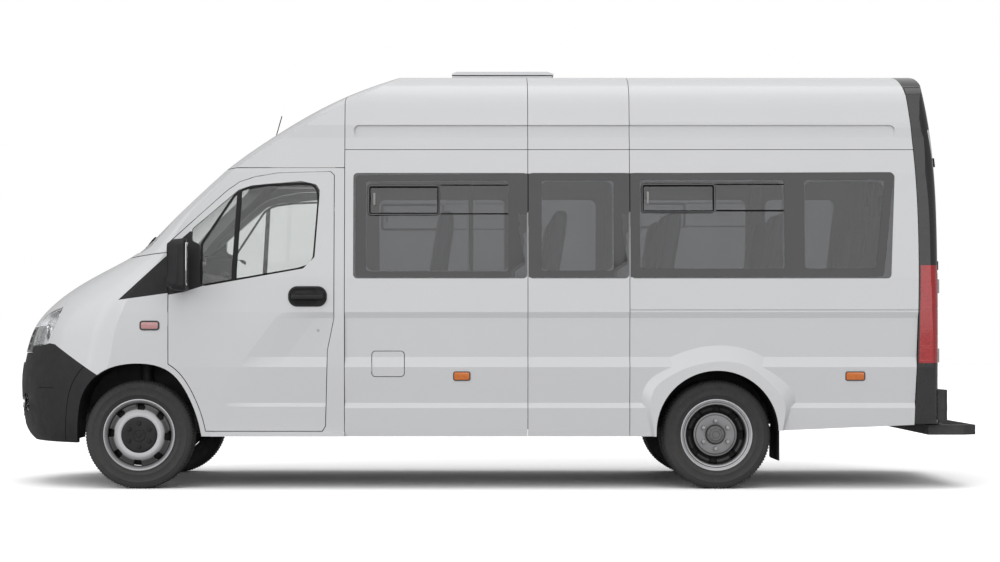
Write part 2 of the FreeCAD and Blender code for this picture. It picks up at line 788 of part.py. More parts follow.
def side_panels():
    """The three left panels with windows, arch and sill, front to rear."""
    ends = [(cab_end_x + seam / 2, middle_seam_x - seam / 2), (middle_seam_x + seam / 2,
                                                               rear_seam_x - seam / 2),
            (rear_seam_x + seam / 2, behind(0.95))]
    panels = []
    z0, z1 = high(opening_foot_share), high(opening_top_share)
    for i, (x0, x1) in enumerate(ends):
        panel = side_wall(x0, x1)
        outline = pane_outline(i)
        shelf = skin_slab(-wall, pocket, x0 - wall, x1 + wall, high(0.45), high(0.78))
        panel = panel.cut(shelf.common(prism_y(outline, outside, 0, pane_corner)))
        for a, b in openings_share:
            if x0 < along(a) < x1:
                clear = [(along(a), z0), (along(b), z0), (along(b), z1), (along(a), z1)]
                panel = panel.cut(prism_y(clear, outside, 0, opening_corner))
        panels.append(panel)
    panels[2] = rear_quarter(panels[2])
    return panels


def side_panes():
    return [glass_sheet(pane_outline(i), pane_recess, pane_corner, seat_gap) for i in range(3)]


# Fuel flap on the left side
flap_share = [(0.4043, 0.2675), (0.4593, 0.2675), (0.4593, 0.3260), (0.4043, 0.3260)]
flap_corner = 22.0
flap_sheet = 20.0
flap_well = 48.0


def fuel_flap():
    outline = [Vector(x, outside, z) for x, z in side_view(flap_share)]
    face = Part.Face(rounded(outline, flap_corner))
    sheet = side_wall(cab_end_x, middle_seam_x)
    xs = along(flap_share[0][0])
    slab = box(xs, along(flap_share[1][0]), outside, flap_sheet - wide(0.985), 0, roof_height)
    return sheet.common(face.extrude(Vector(0, overrun * 2, 0))).common(slab)


def fuel_well():
    outline = [Vector(x, outside, z) for x, z in side_view(flap_share)]
    face = Part.Face(rounded(outline, flap_corner)).makeOffset2D(panel_gap)
    return face.extrude(Vector(0, -outside - body_half_width + flap_well, 0))


def lamp_zone(extra):
    """The room of the left headlamp, seen from the front and drawn out along the vehicle."""
    wire = rounded([Vector(nose_x - overrun, -wide(y), high(z)) for y, z in lamp_share], 0)
    face = Part.Face(wire).makeOffset2D(extra) if extra else Part.Face(wire)
    return face.extrude(Vector(overrun + front_overhang, 0, 0))


def slots(shares):
    """Rows and columns of long openings through the left half of a front panel."""
    reach, foot, height, rows, columns = shares
    length = (wide(reach) - slot_bar / 2) / columns - slot_bar / 2
    boxes = []
    for row in range(rows):
        z = high(foot) + row * (high(height) + slot_bar)
        for column in range(columns):
            y = -slot_bar / 2 - column * (length + slot_bar / 2)
            boxes.append(box(nose_x - overrun, nose_x + overrun, y - length, y, z, z + high(height)))
    return boxes


def skin_front(y, z):
    """Where the front skin lies at a place across and a height."""
    line = Part.LineSegment(Vector(nose_x - overrun, y, z), Vector(front_axle_x, y, z)).toShape()
    return line.common(outer_half).BoundBox.XMin


def fog_lamp(core):
    """Pocket and lens of the left fog lamp; the lens lies a little under the skin."""
    y, z = -wide(fog_share[0]), high(fog_share[1])
    x = skin_front(y, z)
    pocket = rod(fog_radius, (nose_x - overrun, y, z), (x + fog_depth, y, z))
    lens = rod(fog_radius - panel_gap, (nose_x, y, z), (x + fog_depth - seat_gap, y, z)).common(core)
    return pocket, lens


def bumper_creases(core):
    """The ledge, the crease and the line of the arch band, cut a little way into the bumper's skin."""
    skin = outer_half.common(box(nose_x - overrun, front_axle_x, outside, 0, 0, high(0.36))).cut(core)
    band = front_arch(bumper_band + crease_width, outside, 0).cut(front_arch(bumper_band, outside, 0))
    zones = [prism_y(front_side_view(bumper_ledge_share), outside, 0)]
    zones.append(prism_y(front_side_view(bumper_crease_share), outside, 0))
    zones.append(band)
    return [skin.common(zone) for zone in zones]


def body_front():
    """The panels ahead of the cab's end, left half."""
    parts = {}
    arch = front_arch(0, outside, -house_inner_y)
    core = front_half(crease_depth, 0)
    lamp_room = lamp_zone(panel_gap)
    high_enough = box(nose_x - overrun, cab_end_x - panel_gap / 2, outside, 0, sill_height, dome_seam_z)
    cab = shell.common(high_enough).cut(door_zone(panel_gap))
    ahead_box = box(nose_x - overrun, hood_rear_x, outside, 0, 0, high(0.62))
    hood = shell.common(box(nose_x - overrun, hood_rear_x - panel_gap, -hood_edge_y, 0, hood_front_z,
                            high(0.62)))
    parts["hood"] = hood.cut(lamp_room)
    bumper = shell.common(prism_y(front_side_view(bumper_share), outside, 0)).cut(arch)
    grille_room = box(nose_x - overrun, hood_rear_x, -grille_edge_y, 0, grille_foot_z - panel_gap,
                      high(0.6))
    pocket, parts["fog"] = fog_lamp(core)
    bumper = bumper.cut([grille_room, lamp_room, pocket] + bumper_creases(core))
    parts["bumper"] = bumper.cut(slots(intake_slots_share))
    grille = shell.common(box(nose_x - overrun, hood_rear_x, -grille_edge_y, 0, grille_foot_z,
                              hood_front_z - panel_gap))
    parts["grille"] = grille.cut([lamp_room] + slots(grille_slots_share))
    parts["lamp"] = shell.common(lamp_zone(0))
    door_front_x = along(door_share[0][0])
    door_foot_x = along(0.1300)
    outline = front_side_view(fender_share)
    outline += [(door_front_x - panel_gap, high(0.5595)), (door_front_x - panel_gap, high(0.32))]
    outline += [(door_foot_x, high(0.28)), (door_foot_x, sill_height), (ahead(0.2), sill_height)]
    outline += [(ahead(0.27), high(0.2620))]
    fender = shell.common(prism_y(outline, outside, -hood_edge_y - panel_gap))
    fender = fender.cut(arch).cut(prism_y(front_side_view(bumper_share), outside, 0))
    fender = fender.cut(door_zone(panel_gap)).cut(lamp_room)
    parts["fender"] = fender
    cab = cab.cut(ahead_box).cut(grown_prism(outline, panel_gap, outside, -hood_edge_y))
    cab = cab.cut(arch)
    parts["cab"] = cab.cut(screen_prism(0))
    parts["dome"] = shell.common(box(nose_x, cab_end_x - panel_gap / 2, outside, 0, dome_seam_z + panel_gap,
                                     roof_height + wall))
    return parts


# Underbody
rail_inner_y = 350.0
rail_width = 60.0
rail_foot = 470.0
floor_sheet = 50.0
floor_foot = deck - floor_sheet
cross_sheet = 60.0
cross_height = 100.0
cross_share = (0.2500, 0.4500, 0.6200, 0.8000, 1.2000, 1.3500)
cab_floor_y = 930.0
tow_place_share = 1.2700
tow_spacing = 200.0
tow_hole_radius = 6.5
tow_hole_depth = 40.0
jack_place_share = (0.2937, 1.1750)
jack_pad_half = 45.0
jack_pad_sheet = 8.0
bulkhead_share = (0.0280, 0.0345)
bulkhead_top = high(0.5185)
hoop_sheet = 30.0
hoop_width = 80.0
hoops_share = (0.3565, 0.6732, 0.8491, 1.1330, 1.3300)
engine_share = (-0.1280, 0.0260)
engine_half_width = 280.0
engine_foot = 480.0
engine_top = 1130.0
gearbox_radius = 125.0
gearbox_end_share = 0.2150
shaft_radius = 35.0
shaft_front_z = 430.0
radiator_share = (-0.2020, -0.1880)
radiator_half_width = 330.0
carrier_share = (-0.1620, -0.1420)


def rails(rear):
    """Two long rails and the cross members between them."""
    pieces = []
    y0, y1 = -rail_inner_y - rail_width, -rail_inner_y
    nose = box(nose_x, front_axle_x, y0, y1, rail_foot, floor_foot).common(lined_half)
    main = box(front_axle_x, body_rear_x, y0, y1, rail_foot, floor_foot).cut(rear)
    pieces += pair(joined([nose, max(main.Solids, key=lambda solid: solid.Volume)]))
    for share in cross_share:
        x = along(share)
        pieces.append(box(x, x + cross_sheet, -rail_inner_y, rail_inner_y, floor_foot - cross_height,
                          floor_foot))
    for share in jack_place_share:
        x = along(share)
        for y in (-rail_inner_y - rail_width, rail_inner_y):
            pieces.append(box(x - jack_pad_half, x + jack_pad_half, y, y + rail_width,
                              rail_foot - jack_pad_sheet, rail_foot))
    holes = []
    for x in (along(tow_place_share) - tow_spacing / 2, along(tow_place_share) + tow_spacing / 2):
        for y in (-rail_inner_y - rail_width / 2, rail_inner_y + rail_width / 2):
            holes.append(rod(tow_hole_radius, (x, y, rail_foot), (x, y, rail_foot + tow_hole_depth)))
    return joined(pieces).cut(holes)


def floor_plate(houses, walls):
    """Floor of the cab and of the passenger room, with the cab's inner sills."""
    z0, z1 = floor_foot, deck
    start = along(bulkhead_share[0])
    room_x = along(door_share[9][0]) + panel_gap
    rear_x = body_rear_x - wall - seat_gap
    y0, y1 = half_width(z0) - wall - seat_gap, half_width(z1) - wall - seat_gap
    plate = prism_x([(-y0, z0), (y0, z0), (y1, z1), (-y1, z1)], room_x, rear_x)
    tail = box(rear_seam_x, body_rear_x, outside, -outside, z0, z1)
    plate = plate.cut(tail).fuse(plate.common(tail).common(rear_loft(wall + seat_gap)))
    cab_plate = box(start, room_x, -cab_floor_y, cab_floor_y, z0, z1)
    sill_x = along(0.1250)
    sills = pair(box(sill_x, cab_end_x, -cab_floor_y, wall * 2 - cab_floor_y, sill_height + seat_gap, z0))
    flange = box(sill_x, cab_end_x, -body_half_width, -cab_floor_y, sill_height + seat_gap,
                 sill_height + sill_lip)
    flange = flange.cut(walls)
    return joined([plate, cab_plate] + sills + pair(flange)).cut(houses)


sill_lip = 26.0


def bulkhead(houses):
    wall_piece = lined_half.common(box(along(bulkhead_share[0]), along(bulkhead_share[1]), outside, 0, deck,
                                       bulkhead_top))
    return joined(pair(wall_piece)).cut(houses)


def carrier(houses):
    """Upright panel across the nose that carries the lamps, the grille and the radiator."""
    x0, x1 = along(carrier_share[0]), along(carrier_share[1])
    sheet = lined_half.common(box(x0, x1, outside, 0, sill_height, high(0.42)))
    window = box(x0, x1, -radiator_half_width, 0, high(0.19), high(0.36))
    rail_room = box(x0, x1, -rail_inner_y - rail_width - seat_gap, seat_gap - rail_inner_y,
                    rail_foot - seat_gap,
                    floor_foot + seat_gap)
    return joined(pair(sheet.cut([window, rail_room]))).cut(houses)


def hoops():
    """Ribs inside the body at its seams, from the floor up round the roof."""
    ribs = []
    rear_room = rear_loft(wall + seat_gap)
    for share in hoops_share:
        x = along(share) - hoop_width / 2
        outer = left_section(wall + seat_gap, 0, x, x + hoop_width)
        inner = left_section(wall + hoop_sheet, overrun, x - wall, x + hoop_width + wall)
        rib = outer.cut(inner).common(box(x - wall, x + wall * 4, outside, 0, deck, roof_height))
        if share < pane_ends_share[0][0]:
            ribs += pair(rib.common(lined_half))
            continue
        if x > rear_seam_x - hoop_width:
            rib = rib.common(rear_room)
        ribs.append(whole(rib))
    return ribs


def engine_block():
    x0, x1 = along(engine_share[0]), along(engine_share[1])
    block = box(x0, x1, -engine_half_width, engine_half_width, engine_foot, engine_top)
    box_end = along(gearbox_end_share)
    gearbox = cone(gearbox_radius, gearbox_radius / 2, (x1, 0, shaft_front_z), (box_end, 0, shaft_front_z))
    x2, x3 = along(radiator_share[0]), along(radiator_share[1])
    radiator = box(x2, x3, -radiator_half_width, radiator_half_width, high(0.175), high(0.345))
    mounts = [box(x3, along(carrier_share[0]), y, y + rail_width, high(0.178), high(0.188))
              for y in (-radiator_half_width, radiator_half_width - rail_width)]
    feet = [box(x0 + rail_width * k, x0 + rail_width * (k + 1), -rail_inner_y, rail_inner_y, engine_foot,
                engine_foot + rail_width)
            for k in (2, 5)]
    return [joined([block, gearbox] + feet), joined([radiator] + mounts)]


# Axles, springs and steering
axle_radius = 55.0
axle_half = 580.0
differential_radius = 140.0
drum_radius = 150.0
spring_reach = 700.0
spring_inner_y = 475.0
spring_width = 62.0
spring_sheet = 34.0
spring_rise = 35.0
kingpin_y = front_track / 2 - kingpin_inset
arm_reach = 110.0
knuckle_half = 40.0
knuckle_foot = tyre_radius - 88.0
knuckle_top = tyre_radius + 88.0
knuckle_face = kingpin_y + 29.0
knuckle_root = 55.0
spindle_length = 60.0
steer_arm_inset = 45.0
lower_arm_z = 225.0
arm_sheet = 30.0
upper_arm_z = knuckle_top + 7.0
tower_y = rail_inner_y + rail_width
tower_half = 80.0
strut_y = kingpin_y - 180.0
strut_radius = 38.0
rack_radius = 15.0
rack_z = 275.0


def rear_axle():
    x, z = rear_axle_x, tyre_radius
    tube = rod(axle_radius, (x, -axle_half, z), (x, axle_half, z))
    middle = x + axle_radius * 0.4
    nose, tail = (x - axle_radius * 3.5, 0, z), (x + axle_radius * 2, 0, z)
    gears = cone(differential_radius, differential_radius * 0.6, (middle, 0, z), nose)
    cover = cone(differential_radius, differential_radius * 0.7, (middle, 0, z), tail)
    shaft_start = along(gearbox_end_share) + shaft_radius * 0.05
    shaft = rod(shaft_radius, (shaft_start, 0, shaft_front_z), (x - axle_radius * 2, 0, z))
    return [joined([tube, gears, cover, shaft])]


def leaf_springs():
    """A bowed pack of leaves over the axle, hung at both ends from brackets under the floor."""
    x = rear_axle_x
    z = tyre_radius + axle_radius + seat_gap
    y0, y1 = -spring_inner_y - spring_width, -spring_inner_y
    low = Part.Arc(Vector(x - spring_reach, y0, z + spring_rise), Vector(x, y0, z),
                   Vector(x + spring_reach, y0, z + spring_rise)).toShape()
    top_mid = Vector(x, y0, z + spring_sheet)
    end = spring_sheet / 3
    high_arc = Part.Arc(Vector(x - spring_reach, y0, z + spring_rise + end), top_mid,
                        Vector(x + spring_reach, y0, z + spring_rise + end)).toShape()
    tips = [line_through([Vector(tip_x, y0, z + spring_rise), Vector(tip_x, y0, z + spring_rise + end)])
            for tip_x in (x - spring_reach, x + spring_reach)]
    wire = Part.Wire(Part.__sortEdges__([low, high_arc] + tips[0] + tips[1]))
    leaf = Part.Face(wire).extrude(Vector(0, y1 - y0, 0))
    foot = z + spring_rise - end
    hangers = [x - spring_reach, x + spring_reach]
    brackets = [box(hanger - end, hanger + end * 3, y0, y1, foot, floor_foot) for hanger in hangers]
    clamp = box(x - axle_radius, x + axle_radius, y0, y1, z + spring_sheet * 0.9, z + spring_sheet * 1.5)
    return pair(joined([leaf, clamp] + brackets))


def arm(z, root_half, tip_half, hole):
    """A flat wishbone from the tower out to the kingpin."""
    x = front_axle_x
    plan = [(x - root_half, -tower_y), (x - tip_half, -kingpin_y), (x + tip_half, -kingpin_y),
            (x + root_half, -tower_y)]
    plate = prism_z(plan, z, z + arm_sheet)
    tip = rod(tip_half, (x, -kingpin_y, z), (x, -kingpin_y, z + arm_sheet))
    plate = plate.fuse(tip)
    if hole:
        plate = plate.cut(rod(strut_radius + panel_gap, (x, -strut_y, z - wall), (x, -strut_y, z + wall)))
    return plate


def front_suspension(houses_room):
    x = front_axle_x
    tip = 24.0
    lower = arm(lower_arm_z, tower_half, tip, False)
    upper = arm(upper_arm_z, tower_half, tip, True)
    low_pin = rod(tip / 2, (x, -kingpin_y, lower_arm_z + arm_sheet),
                  (x, -kingpin_y, knuckle_foot - seat_gap))
    top_pin = rod(tip / 2, (x, -kingpin_y, knuckle_top + seat_gap), (x, -kingpin_y, upper_arm_z))
    tower = box(x - tower_half, x + tower_half, -tower_y - arm_sheet, -tower_y, lower_arm_z, floor_foot)
    strut_top = tyre_radius * 3
    strut = rod(strut_radius, (x, -strut_y, lower_arm_z + arm_sheet),
                (x, -strut_y, strut_top)).common(houses_room)
    half = joined([lower, upper, low_pin, top_pin, tower, strut])
    beam = box(x - wall, x + wall, -tower_y, tower_y, lower_arm_z, lower_arm_z + wall)
    rack_x = x + arm_reach
    cradle = box(x + wall, rack_x + rack_radius, -rail_inner_y, rail_inner_y, lower_arm_z,
                 rack_z - rack_radius - seat_gap)
    return joined([half, mirrored(half), beam, cradle])


def steering_rack():
    """The rack with its tie rods, a bar that slides across under the knuckle arms."""
    x = front_axle_x + arm_reach
    end = kingpin_y - steer_arm_inset
    bar = rod(rack_radius, (x, -end - rack_radius, rack_z), (x, end + rack_radius, rack_z))
    studs = [rod(rack_radius / 2, (x, y, rack_z), (x, y, knuckle_arm_z - seat_gap)) for y in (-end, end)]
    return joined([bar] + studs)


knuckle_arm_z = 305.0
knuckle_arm_sheet = 24.0


def knuckle():
    x, z = front_axle_x, tyre_radius
    block = box(x - knuckle_half, x + knuckle_half, -knuckle_face, knuckle_root - kingpin_y,
                knuckle_foot, knuckle_top)
    spindle = rod(tyre_radius / 10, (x, -knuckle_face, z), (x, -knuckle_face - spindle_length, z))
    y = steer_arm_inset - kingpin_y
    steer_arm = box(x, x + arm_reach + rack_radius, y - rack_radius, y + rack_radius, knuckle_arm_z,
                    knuckle_arm_z + knuckle_arm_sheet)
    return joined([block, spindle, steer_arm])


# Wheels: profile of tyre and rim as radius and distance from the wheel's middle plane
rim_width = 176.0
bead_radius = 205.0
well_depth = 15.0
rim_sheet = 6.0
disc_depth = twin_spacing / 2 - seat_gap / 2
disc_sheet = 9.0
vent_radius = 18.0
vent_circle = 150.0
vents = 8
tyre_facets = 40
hub_radius = 60.0
nut_circle = 102.0
hub_step = 8.0
cap_length = 33.0
brake_gap = 6.0
brake_sheet = 24.0
rear_hub_length = 50.0
tyre_share = [
    (0.652, 0.405), (0.700, 0.465), (0.790, 0.500), (0.930, 0.480), (0.983, 0.420), (1.000, 0.330),
]


def tyre(y):
    """A tyre turned in flat facets, with a facet corner on the ground."""
    inner = (bead_radius + seat_gap) / math.cos(math.pi / tyre_facets)
    half = [(inner, tyre_width * tyre_share[0][1])]
    half += [(tyre_radius * r, tyre_width * w) for r, w in tyre_share]
    profile = [(r, y + w) for r, w in half] + [(r, y - w) for r, w in reversed(half)]
    rings = []
    for i in range(tyre_facets):
        a = 2 * math.pi * i / tyre_facets
        rings.append([Vector(r * math.cos(a), w, r * math.sin(a)) for r, w in profile])
    faces = []
    for i, ring in enumerate(rings):
        after = rings[(i + 1) % tyre_facets]
        for k in range(len(profile)):
            n = (k + 1) % len(profile)
            faces.append(Part.Face(Part.makePolygon([ring[k], ring[n], after[n], after[k], ring[k]])))
    solid = Part.makeSolid(Part.makeShell(faces))
    return solid if solid.Volume > 0 else solid.reversed()


def rim(y, facing):
    """A steel wheel whose disc bulges out to the side given by the sign."""
    edge = rim_width / 2
    well = bead_radius - well_depth
    outer = [(rim_radius, edge), (rim_radius, edge - rim_sheet), (bead_radius, edge - rim_sheet),
             (bead_radius, edge / 2),
             (well, edge / 3)]
    inner = [(bead_radius - rim_sheet, edge), (bead_radius - rim_sheet, edge / 2),
             (well - rim_sheet, edge / 3)]
    profile = [(r, y + w) for r, w in outer] + [(r, y - w) for r, w in reversed(outer)]
    profile += [(r, y - w) for r, w in inner] + [(r, y + w) for r, w in reversed(inner)]
    barrel = turned_y(profile, 0, 0)
    reach = well - rim_sheet / 2
    face, sheet = disc_depth, disc_sheet
    section = [(reach, 0), (reach * 0.9, face * 0.35), (nut_circle + sheet * 3, face - sheet),
               (nut_circle + sheet * 2, face),
               (hub_radius * 0.6, face), (hub_radius * 0.6, face - sheet), (nut_circle + sheet * 1.5,
                       face - sheet),
               (nut_circle + sheet * 2, face - sheet * 1.8), (reach * 0.9 - sheet, face * 0.35 - rim_sheet),
               (reach - sheet, -edge / 4),
               (reach, -edge / 4)]
    disc = turned_y([(r, y + facing * w) for r, w in section], 0, 0)
    for i in range(vents):
        a = 2 * math.pi * i / vents
        x, z = vent_circle * math.cos(a), vent_circle * math.sin(a)
        disc = disc.cut(rod(vent_radius, (x, y - rim_width, z), (x, y + rim_width, z)))
    return barrel.fuse(disc)


def placed(shape, x):
    moved = shape.copy()
    moved.translate(Vector(x, 0, tyre_radius))
    return moved


def front_wheel():
    y = -front_track / 2
    hub_face = knuckle_face + seat_gap
    hub_end = y - disc_depth + hub_step
    hub = rod(hub_radius, (0, hub_end, 0), (0, -hub_face, 0))
    bore = rod(tyre_radius / 10 + seat_gap, (0, -hub_face, 0),
               (0, -knuckle_face - spindle_length - seat_gap, 0))
    brake = rod(drum_radius, (0, -hub_face - brake_gap, 0), (0, -hub_face - brake_gap - brake_sheet, 0))
    cap = cone(hub_radius * 0.9, hub_radius * 0.75, (0, hub_end, 0), (0, hub_end - cap_length, 0))
    wheel_rim = rim(y, -1).fuse([hub, brake, cap]).cut(bore)
    return placed(wheel_rim, front_axle_x), placed(tyre(y), front_axle_x)


def rear_wheels():
    y = -rear_track / 2
    outer_y, inner_y = y - twin_spacing / 2, y + twin_spacing / 2
    rims = rim(outer_y, 1)
    drum = rod(drum_radius, (0, -axle_half - seat_gap, 0), (0, y, 0)).fuse(rim(inner_y, -1))
    hub = cone(hub_radius * 1.3, hub_radius * 1.2, (0, y, 0), (0, y - rear_hub_length, 0))
    whole_rim = joined([rims, drum, hub])
    tyres = [placed(tyre(outer_y), rear_axle_x), placed(tyre(inner_y), rear_axle_x)]
    return placed(whole_rim, rear_axle_x), tyres


# Inside
dash_share = [
    (-0.0130, 0.5440), (0.1060, 0.5150), (0.1440, 0.4790), (0.1510, 0.4390), (0.1330, 0.3950),
    (0.0800, 0.3660),
    (0.0350, 0.3660), (0.0350, 0.5200), (-0.0130, 0.5350),
]
wheel_centre_share = (0.1760, 0.4780)
driver_y = 450.0
steering_radius = 195.0
steering_tube = 13.0
steering_tilt = 32.0
seat_width = 440.0
seat_depth = 470.0
seat_lift = 420.0
cushion_sheet = 110.0
back_sheet = 90.0
back_height = 760.0
back_lean = 130.0
leg_sheet = 40.0
seat_outer_y = 900.0
seat_pitch_gap = 10.0
rows_share = (0.5450, 0.7450, 0.9450, 1.1450, 1.3350)
cab_seat_share = 0.3420
pole_radius = 17.0
pole_share = 0.5740


def dashboard():
    body = prism_y(side_view(dash_share), -cab_floor_y, 0)
    return joined(pair(body.common(lined_half)))


def steering_axis():
    tilt = math.radians(steering_tilt)
    return Vector(math.sin(tilt), 0, math.cos(tilt))


def steering_centre():
    return Vector(along(wheel_centre_share[0]), -driver_y, high(wheel_centre_share[1]))


def steering_wheel():
    centre, axis = steering_centre(), steering_axis()
    ring = Part.makeTorus(steering_radius, steering_tube, centre, axis)
    hub = Part.makeCylinder(steering_radius / 4, steering_tube * 2, centre - axis * steering_tube * 2, axis)
    across = Vector(0, 1, 0)
    forward = axis.cross(across)
    middle = centre - axis * steering_tube
    spokes = []
    for direction in (across, across * -1, forward * -1 if forward.x > 0 else forward):
        tip = centre + direction * steering_radius
        spokes.append(rod(steering_tube * 0.8, tuple(middle), tuple(tip)))
    return joined([ring, hub] + spokes)


def steering_column(dash):
    centre, axis = steering_centre(), steering_axis()
    start = centre - axis * (steering_tube * 2 + seat_gap)
    column = Part.makeCylinder(steering_tube * 2, steering_radius, start - axis * steering_radius, axis)
    return max(column.cut(dash).Solids, key=lambda solid: solid.BoundBox.ZMax)


def seat(x, y0, y1, houses):
    """Cushion and back of one seat, and its legs; x is the top rear edge of the back."""
    s = deck + seat_lift
    t, b = cushion_sheet, back_sheet
    foot = x - back_lean
    cushion = [(foot - b - seat_depth, s - t), (foot - b - seat_depth, s - t * 0.3),
               (foot - b - seat_depth * 0.9, s),
               (foot - b - seat_gap, s - t * 0.2), (foot - b - seat_gap, s - t)]
    back = [(foot - b, s - t * 0.6), (foot, s - t), (x, s + back_height * 0.96),
            (x - b * 0.3, s + back_height),
            (x - b * 0.9, s + back_height * 0.97)]
    soft = [prism_y(cushion, y0, y1), prism_y(back, y0, y1)]
    legs = []
    for y in (y0 + leg_sheet, y1 - leg_sheet * 2):
        legs.append(box(foot - b - seat_depth * 0.7, foot - b - seat_depth * 0.2, y, y + leg_sheet, deck,
                        s - t))
    rail = box(foot - b - seat_depth * 0.7, foot - b / 2, y0 + leg_sheet, y1 - leg_sheet, s - t - leg_sheet,
               s - t)
    frame = joined(legs + [rail]).cut(houses)
    return soft, frame


def seats(houses):
    cushions, frames = [], []
    inner = seat_outer_y - seat_width
    places = [(along(cab_seat_share), -seat_outer_y + wall, -inner + wall), (along(cab_seat_share),
            inner - wall, seat_outer_y - wall)]
    for i, share in enumerate(rows_share):
        x = along(share)
        places.append((x, -seat_outer_y, -inner))
        places.append((x, -inner + seat_pitch_gap, -inner + seat_pitch_gap + seat_width))
        if i > 0:
            places.append((x, inner, seat_outer_y))
    for x, y0, y1 in places:
        soft, frame = seat(x, y0, y1, houses)
        cushions += soft
        frames.append(frame)
    return cushions, frames


def handrails():
    x = along(pole_share)
    y = seat_outer_y - seat_width - pole_radius * 3
    return [rod(pole_radius, (x, y, deck), (x, y, skin_top(x, -y) - wall - seat_gap * 4))]


# Tank, exhaust, bumper and step
tank_share = (0.3740, 0.6140)
tank_inner_y = 460.0
exhaust_radius = 27.0
exhaust_y = 250.0
exhaust_z = 400.0
exhaust_high_z = 462.0
silencer_share = (0.4660, 0.6040)
silencer_radius = 85.0
tail_y = 620.0
bumper_foot_share, bumper_top_share = 0.1640, 0.2350
bumper_reach = 64.0
step_foot = 349.0
step_top = 413.0
step_corner_length = 90.0
step_corner_width = 60.0
step_half_width = 930.0
flap_sheet_rear = 8.0
flap_foot = 182.0


def fuel_tank():
    outline = [(-cab_floor_y, step_foot), (-tank_inner_y, step_foot),
               (-tank_inner_y, floor_foot - seat_gap),
               (-cab_floor_y, floor_foot - seat_gap)]
    return prism_x(outline, along(tank_share[0]), along(tank_share[1]), wall)


def exhaust():
    y, z = exhaust_y, exhaust_z
    x0 = along(0.0160)
    first = pipe([(x0, y, engine_foot - seat_gap), (x0, y, z), (along(silencer_share[0]), y, z)],
                 exhaust_radius, wall * 1.5)
    silencer = rod(silencer_radius, (along(silencer_share[0]), y, z), (along(silencer_share[1]), y, z))
    points = [(along(silencer_share[1]), y, z), (along(0.8800), y, z), (along(0.9200), y, exhaust_high_z),
              (along(1.0820), y, exhaust_high_z), (along(1.1220), y, z), (behind(0.62), y, z),
              (behind(0.74), tail_y, z), (behind(0.93), tail_y, z)]
    return joined([first, silencer, pipe(points, exhaust_radius, wall * 3)])


def rear_bumper(solid_rear):
    """A bar across the rear and a wide step below it."""
    x0, x1 = body_rear_x - rear_corner * 0.6, body_rear_x + bumper_reach
    half = wide(0.945)
    bar = prism_z([(x0, -half), (x1, -half), (x1, half), (x0, half)], high(bumper_foot_share),
                  high(bumper_top_share), wall / 2)
    bar = bar.cut(solid_rear)
    step_x = body_rear_x + step_reach
    side = [(x0, -step_half_width), (step_x - step_corner_length, -step_half_width),
            (step_x, step_corner_width - step_half_width)]
    tread = prism_z(side + [(x, -y) for x, y in reversed(side)], step_foot, step_top, seat_gap)
    brackets = [box(body_rear_x + seat_gap, x1, y, y + leg_sheet, step_top, high(bumper_foot_share))
                for y in (-rail_inner_y * 2, -rail_inner_y, rail_inner_y, rail_inner_y * 2)]
    return joined([bar, tread] + brackets)


def housings(rear_room, front_room):
    """Liners round the front wheels, boxes over the rear wheels, and the rear mud flaps."""
    pieces = []
    low_inner = box(nose_x, body_rear_x, -house_inner_y - wall, 0, 0, floor_foot - wall)
    above_sill = box(nose_x, body_rear_x, outside, 0, sill_height + sill_lip + seat_gap, roof_height)
    above_sill = above_sill.fuse(box(nose_x, front_axle_x, outside, 0, high(liner_foot_share), roof_height))
    within = [left_section(wall + seat_gap, overrun, rear_seam_x, body_rear_x), lined_half]
    for grown, plain, room in zip((rear_room, front_room), (rear_house(0), front_house(0)), within):
        shell_piece = grown[0].cut(plain).common(above_sill).cut(low_inner).common(room)
        pieces.append(shell_piece)
    x = rear_axle_x + tyre_radius + rear_arch_gap + liner_gap + liner_sheet
    inner_y = half_width(sill_height) - wall - liner_gap
    flap = box(x, x + flap_sheet_rear, -inner_y, panel_gap * 2 - house_inner_y, flap_foot,
               floor_foot - wall * 2)
    pieces.append(flap)
    return pieces


# Lamps and trim on the sides
marker_share = [(0.5440, 0.2560), (1.2190, 0.2560)]
marker_length = 118.0
marker_height = 62.0
marker_proud = 6.0
repeater_share = (0.0040, 0.3766)
repeater_length = 122.0
corner_share = [(-0.0340, 0.4480), (0.0516, 0.5550), (0.0516, 0.4640)]
sail_share = [
    (0.0529, 0.4600), (0.0529, 0.5660), (0.0895, 0.6100), (0.1200, 0.6100), (0.1200, 0.4845),
    (0.1080, 0.4790),
    (0.0790, 0.4665),
]
handle_share = (0.2930, 0.4560)
handle_length = 250.0
handle_height = 132.0
handle_proud = 26.0
mirror_share = (0.0590, 0.4670)
mirror_depth = 120.0
mirror_height = 336.0
mirror_width = 215.0
mirror_out = 1085.0
mirror_corner = 42.0
# How far along its depth, and how much smaller all round
mirror_taper_share = ((0.0, 0.14), (0.30, 0.03), (0.9, 0.0), (1.0, 0.03))


def side_box(x0, z0, length, height, proud, carriers):
    """A small block standing proud of the left skin, seated on what carries it."""
    block = box(x0, x0 + length, -half_width(z0 + height / 2) - proud, wall / 2 - half_width(z0), z0,
                z0 + height)
    left = block.cut(carriers)
    return max(left.Solids, key=lambda solid: -solid.CenterOfMass.y)


def mirror():
    """The housing of an outside mirror on two stubs."""
    x0, z0 = along(mirror_share[0]), high(mirror_share[1])
    y0, y1 = -mirror_out - mirror_width, -mirror_out
    wires = []
    for depth, inset in mirror_taper_share:
        a = inset * mirror_width
        x = x0 + depth * mirror_depth
        corners = [Vector(x, y0 + a, z0 + a), Vector(x, y1 - a, z0 + a),
                   Vector(x, y1 - a, z0 + mirror_height - a),
                   Vector(x, y0 + a, z0 + mirror_height - a)]
        wires.append(rounded(corners, mirror_corner))
    head = Part.makeLoft(wires, True, True)
    return head


